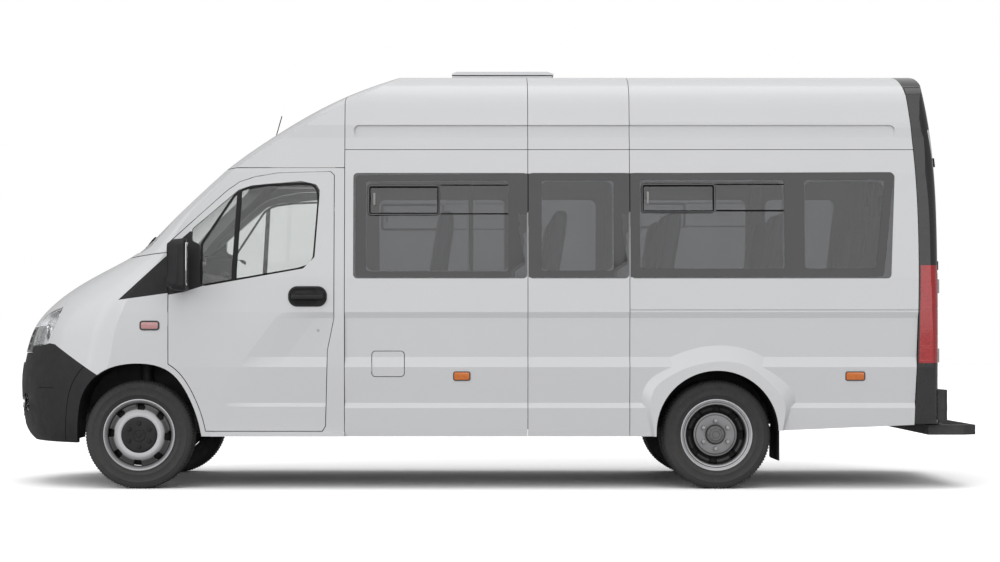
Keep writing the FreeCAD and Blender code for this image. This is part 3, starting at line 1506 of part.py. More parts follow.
def mirror_stubs(door):
    x = along(mirror_share[0]) + mirror_depth * 0.35
    z = high(mirror_share[1])
    stubs = []
    for level in (0.12, 0.62):
        low = z + level * mirror_height
        stub = box(x, x + leg_sheet, -mirror_out - leg_sheet, -kingpin_y, low, low + leg_sheet)
        stubs.append(max(stub.cut(door).Solids, key=lambda solid: -solid.CenterOfMass.y))
    return stubs


def handle(door):
    x, z = along(handle_share[0]), high(handle_share[1])
    half = handle_height / 2
    y = -half_width(z)
    plate = [Vector(x - handle_length / 2, y - marker_proud, z - half), Vector(x + handle_length / 2,
            y - marker_proud, z - half),
             Vector(x + handle_length / 2, y - marker_proud, z + half), Vector(x - handle_length / 2,
                     y - marker_proud, z + half)]
    cup = Part.Face(rounded(plate, half)).extrude(Vector(0, wall / 2, 0)).cut(door)
    cup = max(cup.Solids, key=lambda solid: -solid.CenterOfMass.y)
    grip = box(x - handle_length * 0.42, x + handle_length * 0.42, y - handle_proud, y - marker_proud,
               z - half * 0.3, z + half * 0.3)
    return cup.fuse(grip)


def skin_top(x, y):
    """Height of the front body's skin above a point."""
    line = Part.LineSegment(Vector(x, y, deck), Vector(x, y, roof_height * 2)).toShape()
    return line.common(outer_half).BoundBox.ZMax


def hatch():
    """Raised frame round the roof hatch and the lid over it."""
    x0, x1 = (along(v) for v in hatch_ends_share)
    y = hatch_half_width
    top = roof_height + hatch_rim_height
    block = box(x0, x1, -y, y, roof_height - wall, top)
    roof_block = left_section(0, 0, x0 - wall, x1 + wall)
    room = box(x0 + hatch_rim, x1 - hatch_rim, hatch_rim - y, y - hatch_rim, 0, top + wall)
    dome_part = outer_half.common(box(x0 - wall, middle_seam_x, -y - wall, 0, deck, roof_height + wall))
    roof_part = roof_block.common(box(middle_seam_x, x1 + wall, -y - wall, 0, deck, roof_height + wall))
    frame = block.cut([hatch_opening(), room] + pair(dome_part) + pair(roof_part))
    z0, z1 = top + hatch_gap, top + hatch_gap + hatch_lid_height
    bevel = hatch_lid_height * 1.4
    side = [(x0, z0), (x0, z0 + hatch_lid_height * 0.4), (x0 + bevel, z1), (x1 - bevel, z1),
            (x1 + hatch_lip, z0 + hatch_lid_height * 0.4),
            (x1 + hatch_lip, z0)]
    lid = prism_y(side, -y - hatch_lip, y + hatch_lip)
    return frame, lid


pin_radius = panel_gap / 2 - seat_gap
rear_pin_radius = 7.7
pin_length = 90.0


def hinge_axes():
    """Where each hinge line runs, worked out from the seams."""
    x0, x1 = (along(v) for v in hatch_ends_share)
    return {
        "cab_door": (along(door_share[0][0]) - panel_gap / 2, -wide(1.0), waist_z),
        "rear_door": (body_rear_x + rear_pin_radius + seat_gap, -rear_door_edge - panel_gap / 2, high(0.3)),
        "hood": (hood_rear_x - panel_gap / 2, 0.0, skin_top(hood_rear_x - panel_gap / 2, -seat_gap)),
        "flap": (along(flap_share[0][0]) - panel_gap / 2, -wide(ledge_side_share[3][0]),
                 high(ledge_side_share[3][1])),
        "hatch": (x0 + pin_radius, 0.0, roof_height + hatch_rim_height + hatch_gap / 2),
        "kingpin": (front_axle_x, -kingpin_y, tyre_radius),
        "tow": (along(tow_place_share), 0.0, rail_foot),
        "jack_front": (along(jack_place_share[0]), -rail_inner_y - rail_width / 2,
                       rail_foot - jack_pad_sheet),
        "jack_rear": (along(jack_place_share[1]), -rail_inner_y - rail_width / 2,
                      rail_foot - jack_pad_sheet),
        "tow_spacing": (tow_spacing, rail_inner_y * 2 + rail_width, tow_hole_radius),
        "steering_wheel": tuple(steering_centre()),
        "steering_axis": tuple(steering_axis()),
    }


def hinge_pins(axes):
    pins = []
    x, y, z = axes["cab_door"]
    pins += pair(rod(pin_radius, (x, y, z - pin_length), (x, y, z)))
    x, y, z = axes["rear_door"]
    for level in (z, z + pin_length * 5):
        pins += pair(rod(rear_pin_radius, (x, y, level), (x, y, level + pin_length)))
    x, y, z = axes["hood"]
    pins.append(rod(pin_radius, (x, -pin_length, z), (x, pin_length, z)))
    x, y, z = axes["flap"]
    pins.append(rod(pin_radius, (x, y, z - pin_length / 3), (x, y, z + pin_length / 4)))
    x, y, z = axes["hatch"]
    pins.append(rod(pin_radius, (x, -pin_length, z), (x, pin_length, z)))
    return pins


def aerial():
    """A slim mast raked back from a small foot on the roof."""
    x = along(0.2080)
    z = skin_top(x, -seat_gap)
    foot_radius = pin_radius * 6
    joint = (x + pin_length * 0.06, 0, z + pin_length * 0.2)
    foot = cone(foot_radius, foot_radius / 2, (x, 0, z - foot_radius), joint)
    mast = rod(pin_radius * 1.5, joint, (along(0.2245), 0, z + pin_length * 2.4))
    whole_piece = max(foot.fuse(mast).cut(outer_half).cut(mirrored(outer_half)).Solids,
                      key=lambda solid: solid.Volume)
    whole_piece.translate(Vector(0, 0, seat_gap * 2))
    return whole_piece


def build():
    os.makedirs("parts", exist_ok=True)
    front = body_front()
    door = cab_door()
    frame_rear = rear_frame()
    rear_room = pair(rear_house(liner_sheet))
    front_room = pair(front_house(liner_sheet))
    rooms = rear_room + front_room
    bumper = whole(front["bumper"])
    cab = whole(front["cab"])

    # Body panels
    corner_zone = prism_y(side_view(corner_share), outside, -house_inner_y)
    fender = front["fender"].cut(grown_prism(side_view(corner_share), seat_gap, outside, -house_inner_y))
    save("fenders", pair(fender))
    save("hood", whole(front["hood"]))
    save("front_bumper", bumper)
    save("grille", whole(front["grille"]))
    save("headlamps", pair(front["lamp"]) + pair(front["fog"]))
    save("cab_frame", cab)
    save("roof_dome", whole(front["dome"]))
    save("windscreen", windscreen())
    panels = side_panels()
    well = fuel_well()
    save("side_panels_left", [panels[0].cut(well), panels[1], panels[2]])
    save("side_panels_right", [mirrored(panels[1]), mirrored(panels[2])])
    save("sliding_door_right", mirrored(panels[0]))
    save("roof_panels", roof_panels())
    save("rear_frame", frame_rear)
    panes = side_panes()
    save("side_windows", panes + [mirrored(pane) for pane in panes])
    save("tail_lamps", pair(rear_shell.common(tail_lamp_zone(0))))

    # Structure inside and below
    save("chassis_rails", rails(frame_rear))
    save("floor", floor_plate(rooms, [cab, fender, mirrored(fender)]))
    save("bulkhead", [bulkhead(rooms), carrier(rooms)])
    save("body_hoops", hoops())
    save("engine", engine_block())
    save("rear_axle", rear_axle())
    save("leaf_springs", leaf_springs())
    save("front_suspension", front_suspension(front_house(0)))
    save("fuel_tank", fuel_tank())
    save("exhaust", exhaust())
    save("rear_bumper", rear_bumper(pair(rear_outer)))
    liners = housings(rear_room, front_room)
    save("wheel_housings", liners + [mirrored(piece) for piece in liners])

    # Inside
    dash = dashboard()
    save("dashboard", [dash, steering_column(dash)])
    cushions, frames = seats(rooms)
    save("seat_cushions", cushions)
    save("seat_frames", frames)
    save("handrails", handrails())

    # Small pieces on the body
    axes = hinge_axes()
    markers = [side_box(along(x), high(z), marker_length, marker_height, marker_proud, panels)
               for x, z in marker_share]
    repeater = side_box(along(repeater_share[0]), high(repeater_share[1]), repeater_length, marker_height,
                        marker_proud, [fender])
    save("side_lamps", pair(repeater) + [shape for marker in markers for shape in pair(marker)])
    save("corner_trim", pair(front["fender"].common(corner_zone)) + [aerial()])
    frame, lid = hatch()
    save("hatch_frame", frame)
    save("hatch_lid", lid)
    save("hinge_pins", hinge_pins(axes))

    # Doors and flaps
    sail_zone = prism_y(side_view(sail_share), outside, -house_inner_y)
    trim = [door.common(sail_zone), mirror(), handle(door)] + mirror_stubs(door)
    trim = joined([trim[1]] + trim[3:]).Solids + [trim[0], trim[2]]
    door = door.cut(grown_prism(side_view(sail_share), seat_gap, outside, -house_inner_y))
    pane = glass_sheet(side_view(door_window_share), glass_inset, window_corner, seat_gap)
    save("door_left", door)
    save("door_right", mirrored(door))
    save("door_glass_left", pane)
    save("door_glass_right", mirrored(pane))
    save("door_trim_left", trim)
    save("door_trim_right", [mirrored(piece) for piece in trim])
    leaf = rear_doors()
    leaf_pane = rear_pane()
    save("rear_door_left", leaf)
    save("rear_door_right", mirrored(leaf))
    save("rear_glass_left", leaf_pane)
    save("rear_glass_right", mirrored(leaf_pane))
    save("fuel_flap", fuel_flap())

    # Running gear that moves
    save("steering_wheel", steering_wheel())
    save("steering_rack", steering_rack())
    steer = knuckle()
    save("knuckle_left", steer)
    save("knuckle_right", mirrored(steer))
    front_rim, front_tyre = front_wheel()
    rear_rim, rear_tyres = rear_wheels()
    save("front_rim_left", front_rim)
    save("front_rim_right", mirrored(front_rim))
    save("front_tyre_left", front_tyre)
    save("front_tyre_right", mirrored(front_tyre))
    save("rear_rims_left", rear_rim)
    save("rear_rims_right", mirrored(rear_rim))
    save("rear_tyres_left", rear_tyres)
    save("rear_tyres_right", [mirrored(piece) for piece in rear_tyres])

    for name, place in axes.items():
        print(name, [round(value, 3) for value in place])
    for name, solids in saved:
        print(name, len(solids), "solids", round(sum(solid.Volume for solid in solids) / wheelbase ** 3, 6))


build()
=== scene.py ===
import math
import bmesh
import bpy
from mathutils import Matrix, Vector
from mathutils.bvhtree import BVHTree


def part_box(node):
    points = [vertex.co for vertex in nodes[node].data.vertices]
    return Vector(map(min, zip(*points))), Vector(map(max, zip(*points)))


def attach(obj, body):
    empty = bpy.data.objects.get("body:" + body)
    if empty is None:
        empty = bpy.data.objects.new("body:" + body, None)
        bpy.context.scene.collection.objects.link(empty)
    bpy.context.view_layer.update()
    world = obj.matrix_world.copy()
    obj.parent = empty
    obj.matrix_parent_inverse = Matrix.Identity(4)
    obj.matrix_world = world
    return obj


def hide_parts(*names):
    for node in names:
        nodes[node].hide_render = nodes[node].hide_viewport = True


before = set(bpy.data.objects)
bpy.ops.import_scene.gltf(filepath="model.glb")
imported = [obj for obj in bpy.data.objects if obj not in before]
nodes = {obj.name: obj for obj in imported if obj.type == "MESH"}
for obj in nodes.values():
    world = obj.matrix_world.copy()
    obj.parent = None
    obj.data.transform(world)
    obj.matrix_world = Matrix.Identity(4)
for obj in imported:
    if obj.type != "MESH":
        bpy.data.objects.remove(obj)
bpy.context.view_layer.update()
MM = 0.001

# The photograph's frame, in its own pixels
PICTURE_WIDTH_PX = 1000
PICTURE_MIDDLE_PX = (500, 281)
LENS_AXIS_PX = (475, 338)
FOCAL_LENGTH_PX = 2177
SIDE_MM_PER_PX = 6.46
FRONT_AXLE_PX = 137.7
GROUND_PX = 489.5
CAMERA_TO_SIDE = 14.046

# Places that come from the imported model
rear_tyre_low, rear_tyre_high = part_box("rear_tyres_left")
front_tyre_low, front_tyre_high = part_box("front_tyre_left")
TYRE_RADIUS = (front_tyre_high.z - front_tyre_low.z) / 2
FRONT_AXLE = Vector(((front_tyre_low.x + front_tyre_high.x) / 2, 0, TYRE_RADIUS))
REAR_AXLE = Vector(((rear_tyre_low.x + rear_tyre_high.x) / 2, 0, TYRE_RADIUS))
BODY_HALF_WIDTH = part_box("side_panels_left")[0].y * -1


def at_pixel(px, py):
    """Place along and height on the body's left side for a pixel of the photograph."""
    x = FRONT_AXLE.x + (px - FRONT_AXLE_PX) * SIDE_MM_PER_PX * MM
    z = (GROUND_PX - py) * SIDE_MM_PER_PX * MM
    return x, z


# The front edge of the black rear end on the roof, by two spots of the photograph
ROOF_END_TOP = at_pixel(905.0, 79.0)
ROOF_END_FOOT = at_pixel(917.0, 126.0)
ROOF_END_LEAN = (ROOF_END_TOP[0] - ROOF_END_FOOT[0]) / (ROOF_END_TOP[1] - ROOF_END_FOOT[1])
ROOF_END_LINE = (ROOF_END_TOP[0] - ROOF_END_LEAN * ROOF_END_TOP[1], ROOF_END_LEAN)

# The middle of the room inside the body
ROOM_MIDDLE = (0.0, 0.0, 1.2)


# Node groups, each built once


def start_group(name, inputs, outputs):
    """A shader node group with its sockets; inputs and outputs hold name, type and default."""
    group = bpy.data.node_groups.new(name, "ShaderNodeTree")
    for label, kind, default in inputs:
        socket = group.interface.new_socket(label, in_out="INPUT", socket_type="NodeSocket" + kind)
        if default is not None:
            socket.default_value = default
    for label, kind in outputs:
        group.interface.new_socket(label, in_out="OUTPUT", socket_type="NodeSocket" + kind)
    return group, group.nodes.new("NodeGroupInput"), group.nodes.new("NodeGroupOutput")


def add(tree, kind, **settings):
    """A node with its settings and the values of its inputs, which are given by index or name."""
    node = tree.nodes.new("ShaderNode" + kind)
    values = settings.pop("values", {})
    for key, value in settings.items():
        setattr(node, key, value)
    for key, value in values.items():
        node.inputs[key].default_value = value
    return node


def mottle_group():
    """Soft blotches between two values."""
    group, source, sink = start_group(
        "mottle",
        [("Vector", "Vector", None), ("Scale", "Float", 5.0), ("Low", "Float", 0.0), ("High", "Float", 1.0)],
        [("Value", "Float")])
    noise = add(group, "TexNoise", values={"Detail": 4.0, "Roughness": 0.6})
    span = add(group, "MapRange", values={"From Min": 0.3, "From Max": 0.7})
    group.links.new(source.outputs["Vector"], noise.inputs["Vector"])
    group.links.new(source.outputs["Scale"], noise.inputs["Scale"])
    group.links.new(noise.outputs["Fac"], span.inputs["Value"])
    group.links.new(source.outputs["Low"], span.inputs["To Min"])
    group.links.new(source.outputs["High"], span.inputs["To Max"])
    group.links.new(span.outputs["Result"], sink.inputs["Value"])
    return group


def grain_group():
    """Fine bumps of moulded or sprayed surfaces."""
    group, source, sink = start_group(
        "grain",
        [("Vector", "Vector", None), ("Scale", "Float", 400.0), ("Strength", "Float", 0.2),
         ("Depth", "Float", 0.0005)],
        [("Normal", "Vector")])
    noise = add(group, "TexNoise", values={"Detail": 3.0, "Roughness": 0.55})
    bump = add(group, "Bump")
    group.links.new(source.outputs["Vector"], noise.inputs["Vector"])
    group.links.new(source.outputs["Scale"], noise.inputs["Scale"])
    group.links.new(source.outputs["Strength"], bump.inputs["Strength"])
    group.links.new(source.outputs["Depth"], bump.inputs["Distance"])
    group.links.new(noise.outputs["Fac"], bump.inputs["Height"])
    group.links.new(bump.outputs["Normal"], sink.inputs["Normal"])
    return group


def dust_group():
    """Road dust that thins out upwards from the sills."""
    group, source, sink = start_group(
        "road_dust",
        [("Vector", "Vector", None), ("Clean", "Color", (0.8, 0.8, 0.8, 1)),
         ("Dusty", "Color", (0.5, 0.5, 0.5, 1)), ("Top", "Float", 0.9), ("Amount", "Float", 0.3)],
        [("Color", "Color")])
    split = add(group, "SeparateXYZ")
    fade = add(group, "MapRange", values={"From Min": 0.2, "To Min": 1.0, "To Max": 0.0})
    noise = add(group, "TexNoise", values={"Scale": 9.0, "Detail": 6.0, "Roughness": 0.65})
    blend = add(group, "Math", operation="MULTIPLY")
    amount = add(group, "Math", operation="MULTIPLY")
    mix = add(group, "Mix", data_type="RGBA")
    group.links.new(source.outputs["Vector"], split.inputs[0])
    group.links.new(source.outputs["Vector"], noise.inputs["Vector"])
    group.links.new(split.outputs["Z"], fade.inputs["Value"])
    group.links.new(source.outputs["Top"], fade.inputs["From Max"])
    group.links.new(fade.outputs["Result"], blend.inputs[0])
    group.links.new(noise.outputs["Fac"], blend.inputs[1])
    group.links.new(blend.outputs[0], amount.inputs[0])
    group.links.new(source.outputs["Amount"], amount.inputs[1])
    group.links.new(amount.outputs[0], mix.inputs["Factor"])
    group.links.new(source.outputs["Clean"], mix.inputs["A"])
    group.links.new(source.outputs["Dusty"], mix.inputs["B"])
    group.links.new(mix.outputs["Result"], sink.inputs["Color"])
    return group


def weave_group():
    """Crossed threads for seat cloth."""
    group, source, sink = start_group(
        "weave",
        [("Vector", "Vector", None), ("Threads", "Float", 700.0), ("Strength", "Float", 0.4)],
        [("Mask", "Float"), ("Normal", "Vector")])
    waves = []
    for direction in ("X", "Z"):
        wave = add(group, "TexWave", bands_direction=direction, values={"Distortion": 0.6, "Detail": 1.0})
        group.links.new(source.outputs["Vector"], wave.inputs["Vector"])
        group.links.new(source.outputs["Threads"], wave.inputs["Scale"])
        waves.append(wave)
    both = add(group, "Math", operation="MULTIPLY")
    bump = add(group, "Bump", values={"Distance": 0.0006})
    group.links.new(waves[0].outputs["Fac"], both.inputs[0])
    group.links.new(waves[1].outputs["Fac"], both.inputs[1])
    group.links.new(both.outputs[0], bump.inputs["Height"])
    group.links.new(source.outputs["Strength"], bump.inputs["Strength"])
    group.links.new(both.outputs[0], sink.inputs["Mask"])
    group.links.new(bump.outputs["Normal"], sink.inputs["Normal"])
    return group


def inward_group():
    """One where a surface of the body faces the room inside it."""
    group, source, sink = start_group(
        "facing_inwards", [("Vector", "Vector", None), ("Normal", "Vector", None)], [("Mask", "Float")])
    away = add(group, "VectorMath", operation="SUBTRACT")
    away.inputs[1].default_value = ROOM_MIDDLE
    flat = add(group, "VectorMath", operation="MULTIPLY")
    flat.inputs[1].default_value = (0, 1, 1)
    across = add(group, "VectorMath", operation="DOT_PRODUCT")
    mask = add(group, "Math", operation="LESS_THAN", values={1: -0.15})
    group.links.new(source.outputs["Vector"], away.inputs[0])
    group.links.new(away.outputs[0], flat.inputs[0])
    group.links.new(flat.outputs[0], across.inputs[0])
    group.links.new(source.outputs["Normal"], across.inputs[1])
    group.links.new(across.outputs["Value"], mask.inputs[0])
    group.links.new(mask.outputs[0], sink.inputs["Mask"])
    return group


def beyond_group():
    """One behind a line that leans across the body's side, given by its foot and its lean."""
    group, source, sink = start_group(
        "behind_line", [("Vector", "Vector", None), ("Foot", "Float", 0.0), ("Lean", "Float", 0.0)],
        [("Mask", "Float")])
    split = add(group, "SeparateXYZ")
    rise = add(group, "Math", operation="MULTIPLY")
    line = add(group, "Math", operation="ADD")
    mask = add(group, "Math", operation="GREATER_THAN")
    group.links.new(source.outputs["Vector"], split.inputs[0])
    group.links.new(split.outputs["Z"], rise.inputs[0])
    group.links.new(source.outputs["Lean"], rise.inputs[1])
    group.links.new(rise.outputs[0], line.inputs[0])
    group.links.new(source.outputs["Foot"], line.inputs[1])
    group.links.new(split.outputs["X"], mask.inputs[0])
    group.links.new(line.outputs[0], mask.inputs[1])
    group.links.new(mask.outputs[0], sink.inputs["Mask"])
    return group


MOTTLE = mottle_group()
INWARD = inward_group()
BEHIND = beyond_group()
GRAIN = grain_group()
DUST = dust_group()
WEAVE = weave_group()


# Materials


def start_material(name, **settings):
    """A material with its main shader and the object's own coordinates."""
    material = bpy.data.materials.new(name)
    material.use_nodes = True
    tree = material.node_tree
    tree.nodes.clear()
    sink = add(tree, "OutputMaterial")
    shader = add(tree, "BsdfPrincipled")
    for label, value in settings.items():
        shader.inputs[label].default_value = value
    tree.links.new(shader.outputs[0], sink.inputs["Surface"])
    coordinates = add(tree, "TexCoord").outputs["Object"]
    return material, tree, shader, coordinates


def use_group(tree, group, coordinates, **values):
    """A node group placed in a material with its own values."""
    node = tree.nodes.new("ShaderNodeGroup")
    node.node_tree = group
    tree.links.new(coordinates, node.inputs["Vector"])
    for label, value in values.items():
        node.inputs[label].default_value = value
    return node


def grey(value):
    return (value, value, value, 1.0)


def finish_with(tree, shader, coordinates, base, rough, grain=None, dust=None, tint=0.06, blotch=3.0):
    """Colour that varies a little, roughness that varies and a fine bump, on one shader."""
    blotches = use_group(tree, MOTTLE, coordinates, Scale=blotch, Low=0.0, High=1.0)
    mix = add(tree, "Mix", data_type="RGBA")
    mix.inputs["A"].default_value = base
    mix.inputs["B"].default_value = tuple(c * (1 - tint) for c in base[:3]) + (1.0,)
    tree.links.new(blotches.outputs["Value"], mix.inputs["Factor"])
    colour = mix.outputs["Result"]
    if dust:
        top, amount, shade = dust
        layer = use_group(tree, DUST, coordinates, Top=top, Amount=amount, Dusty=shade)
        tree.links.new(colour, layer.inputs["Clean"])
        colour = layer.outputs["Color"]
    tree.links.new(colour, shader.inputs["Base Color"])
    low, high = rough
    sheen = use_group(tree, MOTTLE, coordinates, Scale=blotch * 4, Low=low, High=high)
    tree.links.new(sheen.outputs["Value"], shader.inputs["Roughness"])
    if grain:
        scale, strength, depth = grain
        bumps = use_group(tree, GRAIN, coordinates, Scale=scale, Strength=strength, Depth=depth)
        tree.links.new(bumps.outputs["Normal"], shader.inputs["Normal"])


BODY_WHITE = (0.66, 0.665, 0.68, 1)
BLACK_PAINT = (0.016, 0.016, 0.018, 1)
LINING_SHADE = (0.16, 0.16, 0.165, 1)
DUST_SHADE = (0.42, 0.40, 0.37, 1)
WHEEL_DUST_SHADE = (0.20, 0.19, 0.18, 1)

# Below this height the floor's side is a painted sill, and under this slant a panel's face is its edge,
# which is painted black as painted shade in the gaps between panels
SILL_TOP = 0.45
EDGE_SLANT = 0.06

# Painted shade and painted highlight on the wheel discs: radius in millimetres and share of the silver's
# brightness there, low in the dish and grooves where shade falls (with a little brake dust in the dish), full
# on the rings that catch the light
PAINTED_LIGHT_REACH_MM = 250.0
FRONT_WHEEL_PAINTED_LIGHT = (
    (0, 0.8), (117, 0.7), (121, 1.0), (138, 1.0), (145, 0.8), (163, 0.55), (170, 0.14), (196, 0.12),
    (199, 0.02), (204, 0.03), (209, 0.34), (216, 0.55), (220, 1.0), (232, 0.9),
)
REAR_WHEEL_PAINTED_LIGHT = (
    (0, 0.45), (122, 0.48), (127, 0.12), (131, 0.16), (134, 0.62), (139, 0.55), (143, 0.03), (192, 0.04),
    (195, 0.25), (199, 1.0), (206, 0.95), (209, 0.07), (212, 0.10), (216, 0.95), (232, 1.0),
)


def shade_where(tree, shader, mask, colour):
    """A second colour on the shader wherever the mask is one."""
    mix = add(tree, "Mix", data_type="RGBA")
    first = shader.inputs["Base Color"].links[0].from_socket
    tree.links.new(mask, mix.inputs["Factor"])
    tree.links.new(first, mix.inputs["A"])
    mix.inputs["B"].default_value = colour
    tree.links.new(mix.outputs["Result"], shader.inputs["Base Color"])


def white_paint(name, rear_end=None, painted_gap_shade=False):
    """Body paint outside and a dark lining inside; the rear end can be black, and the panel edges black as
    painted shade in the gaps.
    """
    material, tree, shader, place = start_material(name, **{"Coat Weight": 0.5, "Coat Roughness": 0.08})
    finish_with(tree, shader, place, BODY_WHITE, (0.36, 0.44), (140, 0.04, 0.0004),
                (1.1, 0.10, DUST_SHADE), 0.02, 0.8)
    if rear_end:
        behind = use_group(tree, BEHIND, place, Foot=rear_end[0], Lean=rear_end[1])
        shade_where(tree, shader, behind.outputs["Mask"], BLACK_PAINT)
    way = add(tree, "TexCoord").outputs["Normal"]
    inside = use_group(tree, INWARD, place)
    tree.links.new(way, inside.inputs["Normal"])
    shade_where(tree, shader, inside.outputs["Mask"], LINING_SHADE)
    # Painted shade: the edge faces of panels, white in reality, are painted black so that the gaps between
    # them read dark
    if painted_gap_shade:
        split = add(tree, "SeparateXYZ")
        size = add(tree, "Math", operation="ABSOLUTE")
        edge = add(tree, "Math", operation="LESS_THAN", values={1: EDGE_SLANT})
        tree.links.new(way, split.inputs[0])
        tree.links.new(split.outputs["Y"], size.inputs[0])
        tree.links.new(size.outputs[0], edge.inputs[0])
        shade_where(tree, shader, edge.outputs[0], BLACK_PAINT)
    return material


def floor_covering():
    """Dark covering inside, body paint on the sills that hang below the floor."""
    material, tree, shader, place = start_material("floor_covering")
    finish_with(tree, shader, place, (0.12, 0.12, 0.125, 1), (0.45, 0.6), (800, 0.25, 0.0005), None, 0.1, 3)
    split = add(tree, "SeparateXYZ")
    sill = add(tree, "Math", operation="LESS_THAN", values={1: SILL_TOP})
    tree.links.new(place, split.inputs[0])
    tree.links.new(split.outputs["Z"], sill.inputs[0])
    shade_where(tree, shader, sill.outputs[0], BODY_WHITE)
    return material


def black_moulding():
    material, tree, shader, place = start_material("black_moulding", **{"Specular IOR Level": 0.35})
    finish_with(tree, shader, place, (0.016, 0.016, 0.018, 1), (0.50, 0.66), (900, 0.35, 0.0005),
                (0.9, 0.12, (0.06, 0.06, 0.06, 1)), 0.2, 4)
    return material


def black_gloss():
    material, tree, shader, place = start_material("black_gloss",
                                                   **{"Coat Weight": 0.4, "Coat Roughness": 0.05})
    finish_with(tree, shader, place, (0.018, 0.018, 0.020, 1), (0.22, 0.32), (200, 0.03, 0.0003), None,
                0.2, 3)
    return material


def printed_border():
    """The dark print round a pane."""
    material, tree, shader, place = start_material("printed_border",
                                                   **{"Coat Weight": 0.3, "Coat Roughness": 0.04})
    finish_with(tree, shader, place, (0.034, 0.034, 0.037, 1), (0.18, 0.26), (260, 0.02, 0.0002), None,
                0.12, 2)
    return material


def silver_with_painted_light(name, axle, painted_light_rings):
    """Silver wheel paint with painted shade in the dish and grooves and painted highlight on its bright
    rings, set by radius; each ring holds a radius in millimetres and a share.
    """
    material, tree, shader, place = start_material(name, Metallic=0.30)
    finish_with(tree, shader, place, (0.62, 0.62, 0.64, 1), (0.30, 0.42), (500, 0.06, 0.0003),
                (0.62, 0.20, WHEEL_DUST_SHADE), 0.10, 8)
    away = add(tree, "VectorMath", operation="SUBTRACT")
    away.inputs[1].default_value = axle
    flat = add(tree, "VectorMath", operation="MULTIPLY")
    flat.inputs[1].default_value = (1, 0, 1)
    radius = add(tree, "VectorMath", operation="LENGTH")
    share = add(tree, "Math", operation="DIVIDE", values={1: PAINTED_LIGHT_REACH_MM * MM})
    ramp = add(tree, "ValToRGB")
    for i, (reach, shade) in enumerate(painted_light_rings):
        stop = ramp.color_ramp.elements[i] if i < 2 else ramp.color_ramp.elements.new(1.0)
        stop.position = reach / PAINTED_LIGHT_REACH_MM
        stop.color = grey(shade)
    tree.links.new(place, away.inputs[0])
    tree.links.new(away.outputs[0], flat.inputs[0])
    tree.links.new(flat.outputs[0], radius.inputs[0])
    tree.links.new(radius.outputs["Value"], share.inputs[0])
    tree.links.new(share.outputs[0], ramp.inputs["Fac"])
    # Painted shade and highlight: the silver is multiplied by the ring's share at each radius
    mix = add(tree, "Mix", data_type="RGBA", blend_type="MULTIPLY", values={"Factor": 1.0})
    tree.links.new(shader.inputs["Base Color"].links[0].from_socket, mix.inputs["A"])
    tree.links.new(ramp.outputs["Color"], mix.inputs["B"])
    tree.links.new(mix.outputs["Result"], shader.inputs["Base Color"])
    return material


def rubber_seal():
    material, tree, shader, place = start_material("rubber_seal", **{"Specular IOR Level": 0.3})
    finish_with(tree, shader, place, (0.010, 0.010, 0.011, 1), (0.55, 0.7), (700, 0.25, 0.0004), None,
                0.3, 20)
    return material


def deep_black():
    """The dull black of gaps and window channels."""
    material, tree, shader, place = start_material("deep_black", **{"Specular IOR Level": 0.12})
    finish_with(tree, shader, place, (0.006, 0.006, 0.007, 1), (0.6, 0.75), (500, 0.2, 0.0003), None, 0.3, 10)
    return material


def tyre_rubber():
    material, tree, shader, place = start_material("tyre_rubber")
    finish_with(tree, shader, place, (0.026, 0.026, 0.028, 1), (0.62, 0.80), (500, 0.3, 0.0006),
                (0.7, 0.35, (0.13, 0.12, 0.11, 1)), 0.25, 9)
    return material


def wheel_silver():
    material, tree, shader, place = start_material("wheel_silver", Metallic=0.55)
    finish_with(tree, shader, place, (0.42, 0.425, 0.43, 1), (0.30, 0.42), (400, 0.08, 0.0003),
                (0.6, 0.25, WHEEL_DUST_SHADE), 0.08, 8)
    return material


def steel(name, shade, rough, metal=0.9):
    material, tree, shader, place = start_material(name, Metallic=metal)
    finish_with(tree, shader, place, grey(shade), rough, (600, 0.12, 0.0003), None, 0.15, 10)
    return material


def painted_steel(name, colour, rough=(0.5, 0.7)):
    material, tree, shader, place = start_material(name)
    finish_with(tree, shader, place, colour, rough, (300, 0.2, 0.0005), (0.6, 0.4, (0.12, 0.11, 0.10, 1)),
                0.25, 6)
    return material


def moulded(name, colour, rough=(0.55, 0.7)):
    material, tree, shader, place = start_material(name)
    finish_with(tree, shader, place, colour, rough, (800, 0.25, 0.0005), None, 0.1, 3)
    return material


def glass(name, tint, bend=1.45):
    """Clear or tinted glass that lets lamp light through to the cabin."""
    material, tree, shader, place = start_material(
        name, **{"Transmission Weight": 1.0, "IOR": bend, "Metallic": 0.0, "Roughness": 0.0})
    shade = use_group(tree, MOTTLE, place, Scale=1.5, Low=0.0, High=1.0)
    mix = add(tree, "Mix", data_type="RGBA")
    mix.inputs["A"].default_value = tint
    mix.inputs["B"].default_value = tuple(c * 0.97 for c in tint[:3]) + (1.0,)
    tree.links.new(shade.outputs["Value"], mix.inputs["Factor"])
    tree.links.new(mix.outputs["Result"], shader.inputs["Base Color"])
    sink = next(node for node in tree.nodes if node.type == "OUTPUT_MATERIAL")
    through = add(tree, "BsdfTransparent")
    tree.links.new(mix.outputs["Result"], through.inputs["Color"])
    path = add(tree, "LightPath")
    choice = add(tree, "MixShader")
    tree.links.new(path.outputs["Is Shadow Ray"], choice.inputs["Fac"])
    tree.links.new(shader.outputs[0], choice.inputs[1])
    tree.links.new(through.outputs[0], choice.inputs[2])
    tree.links.new(choice.outputs[0], sink.inputs["Surface"])
    return material


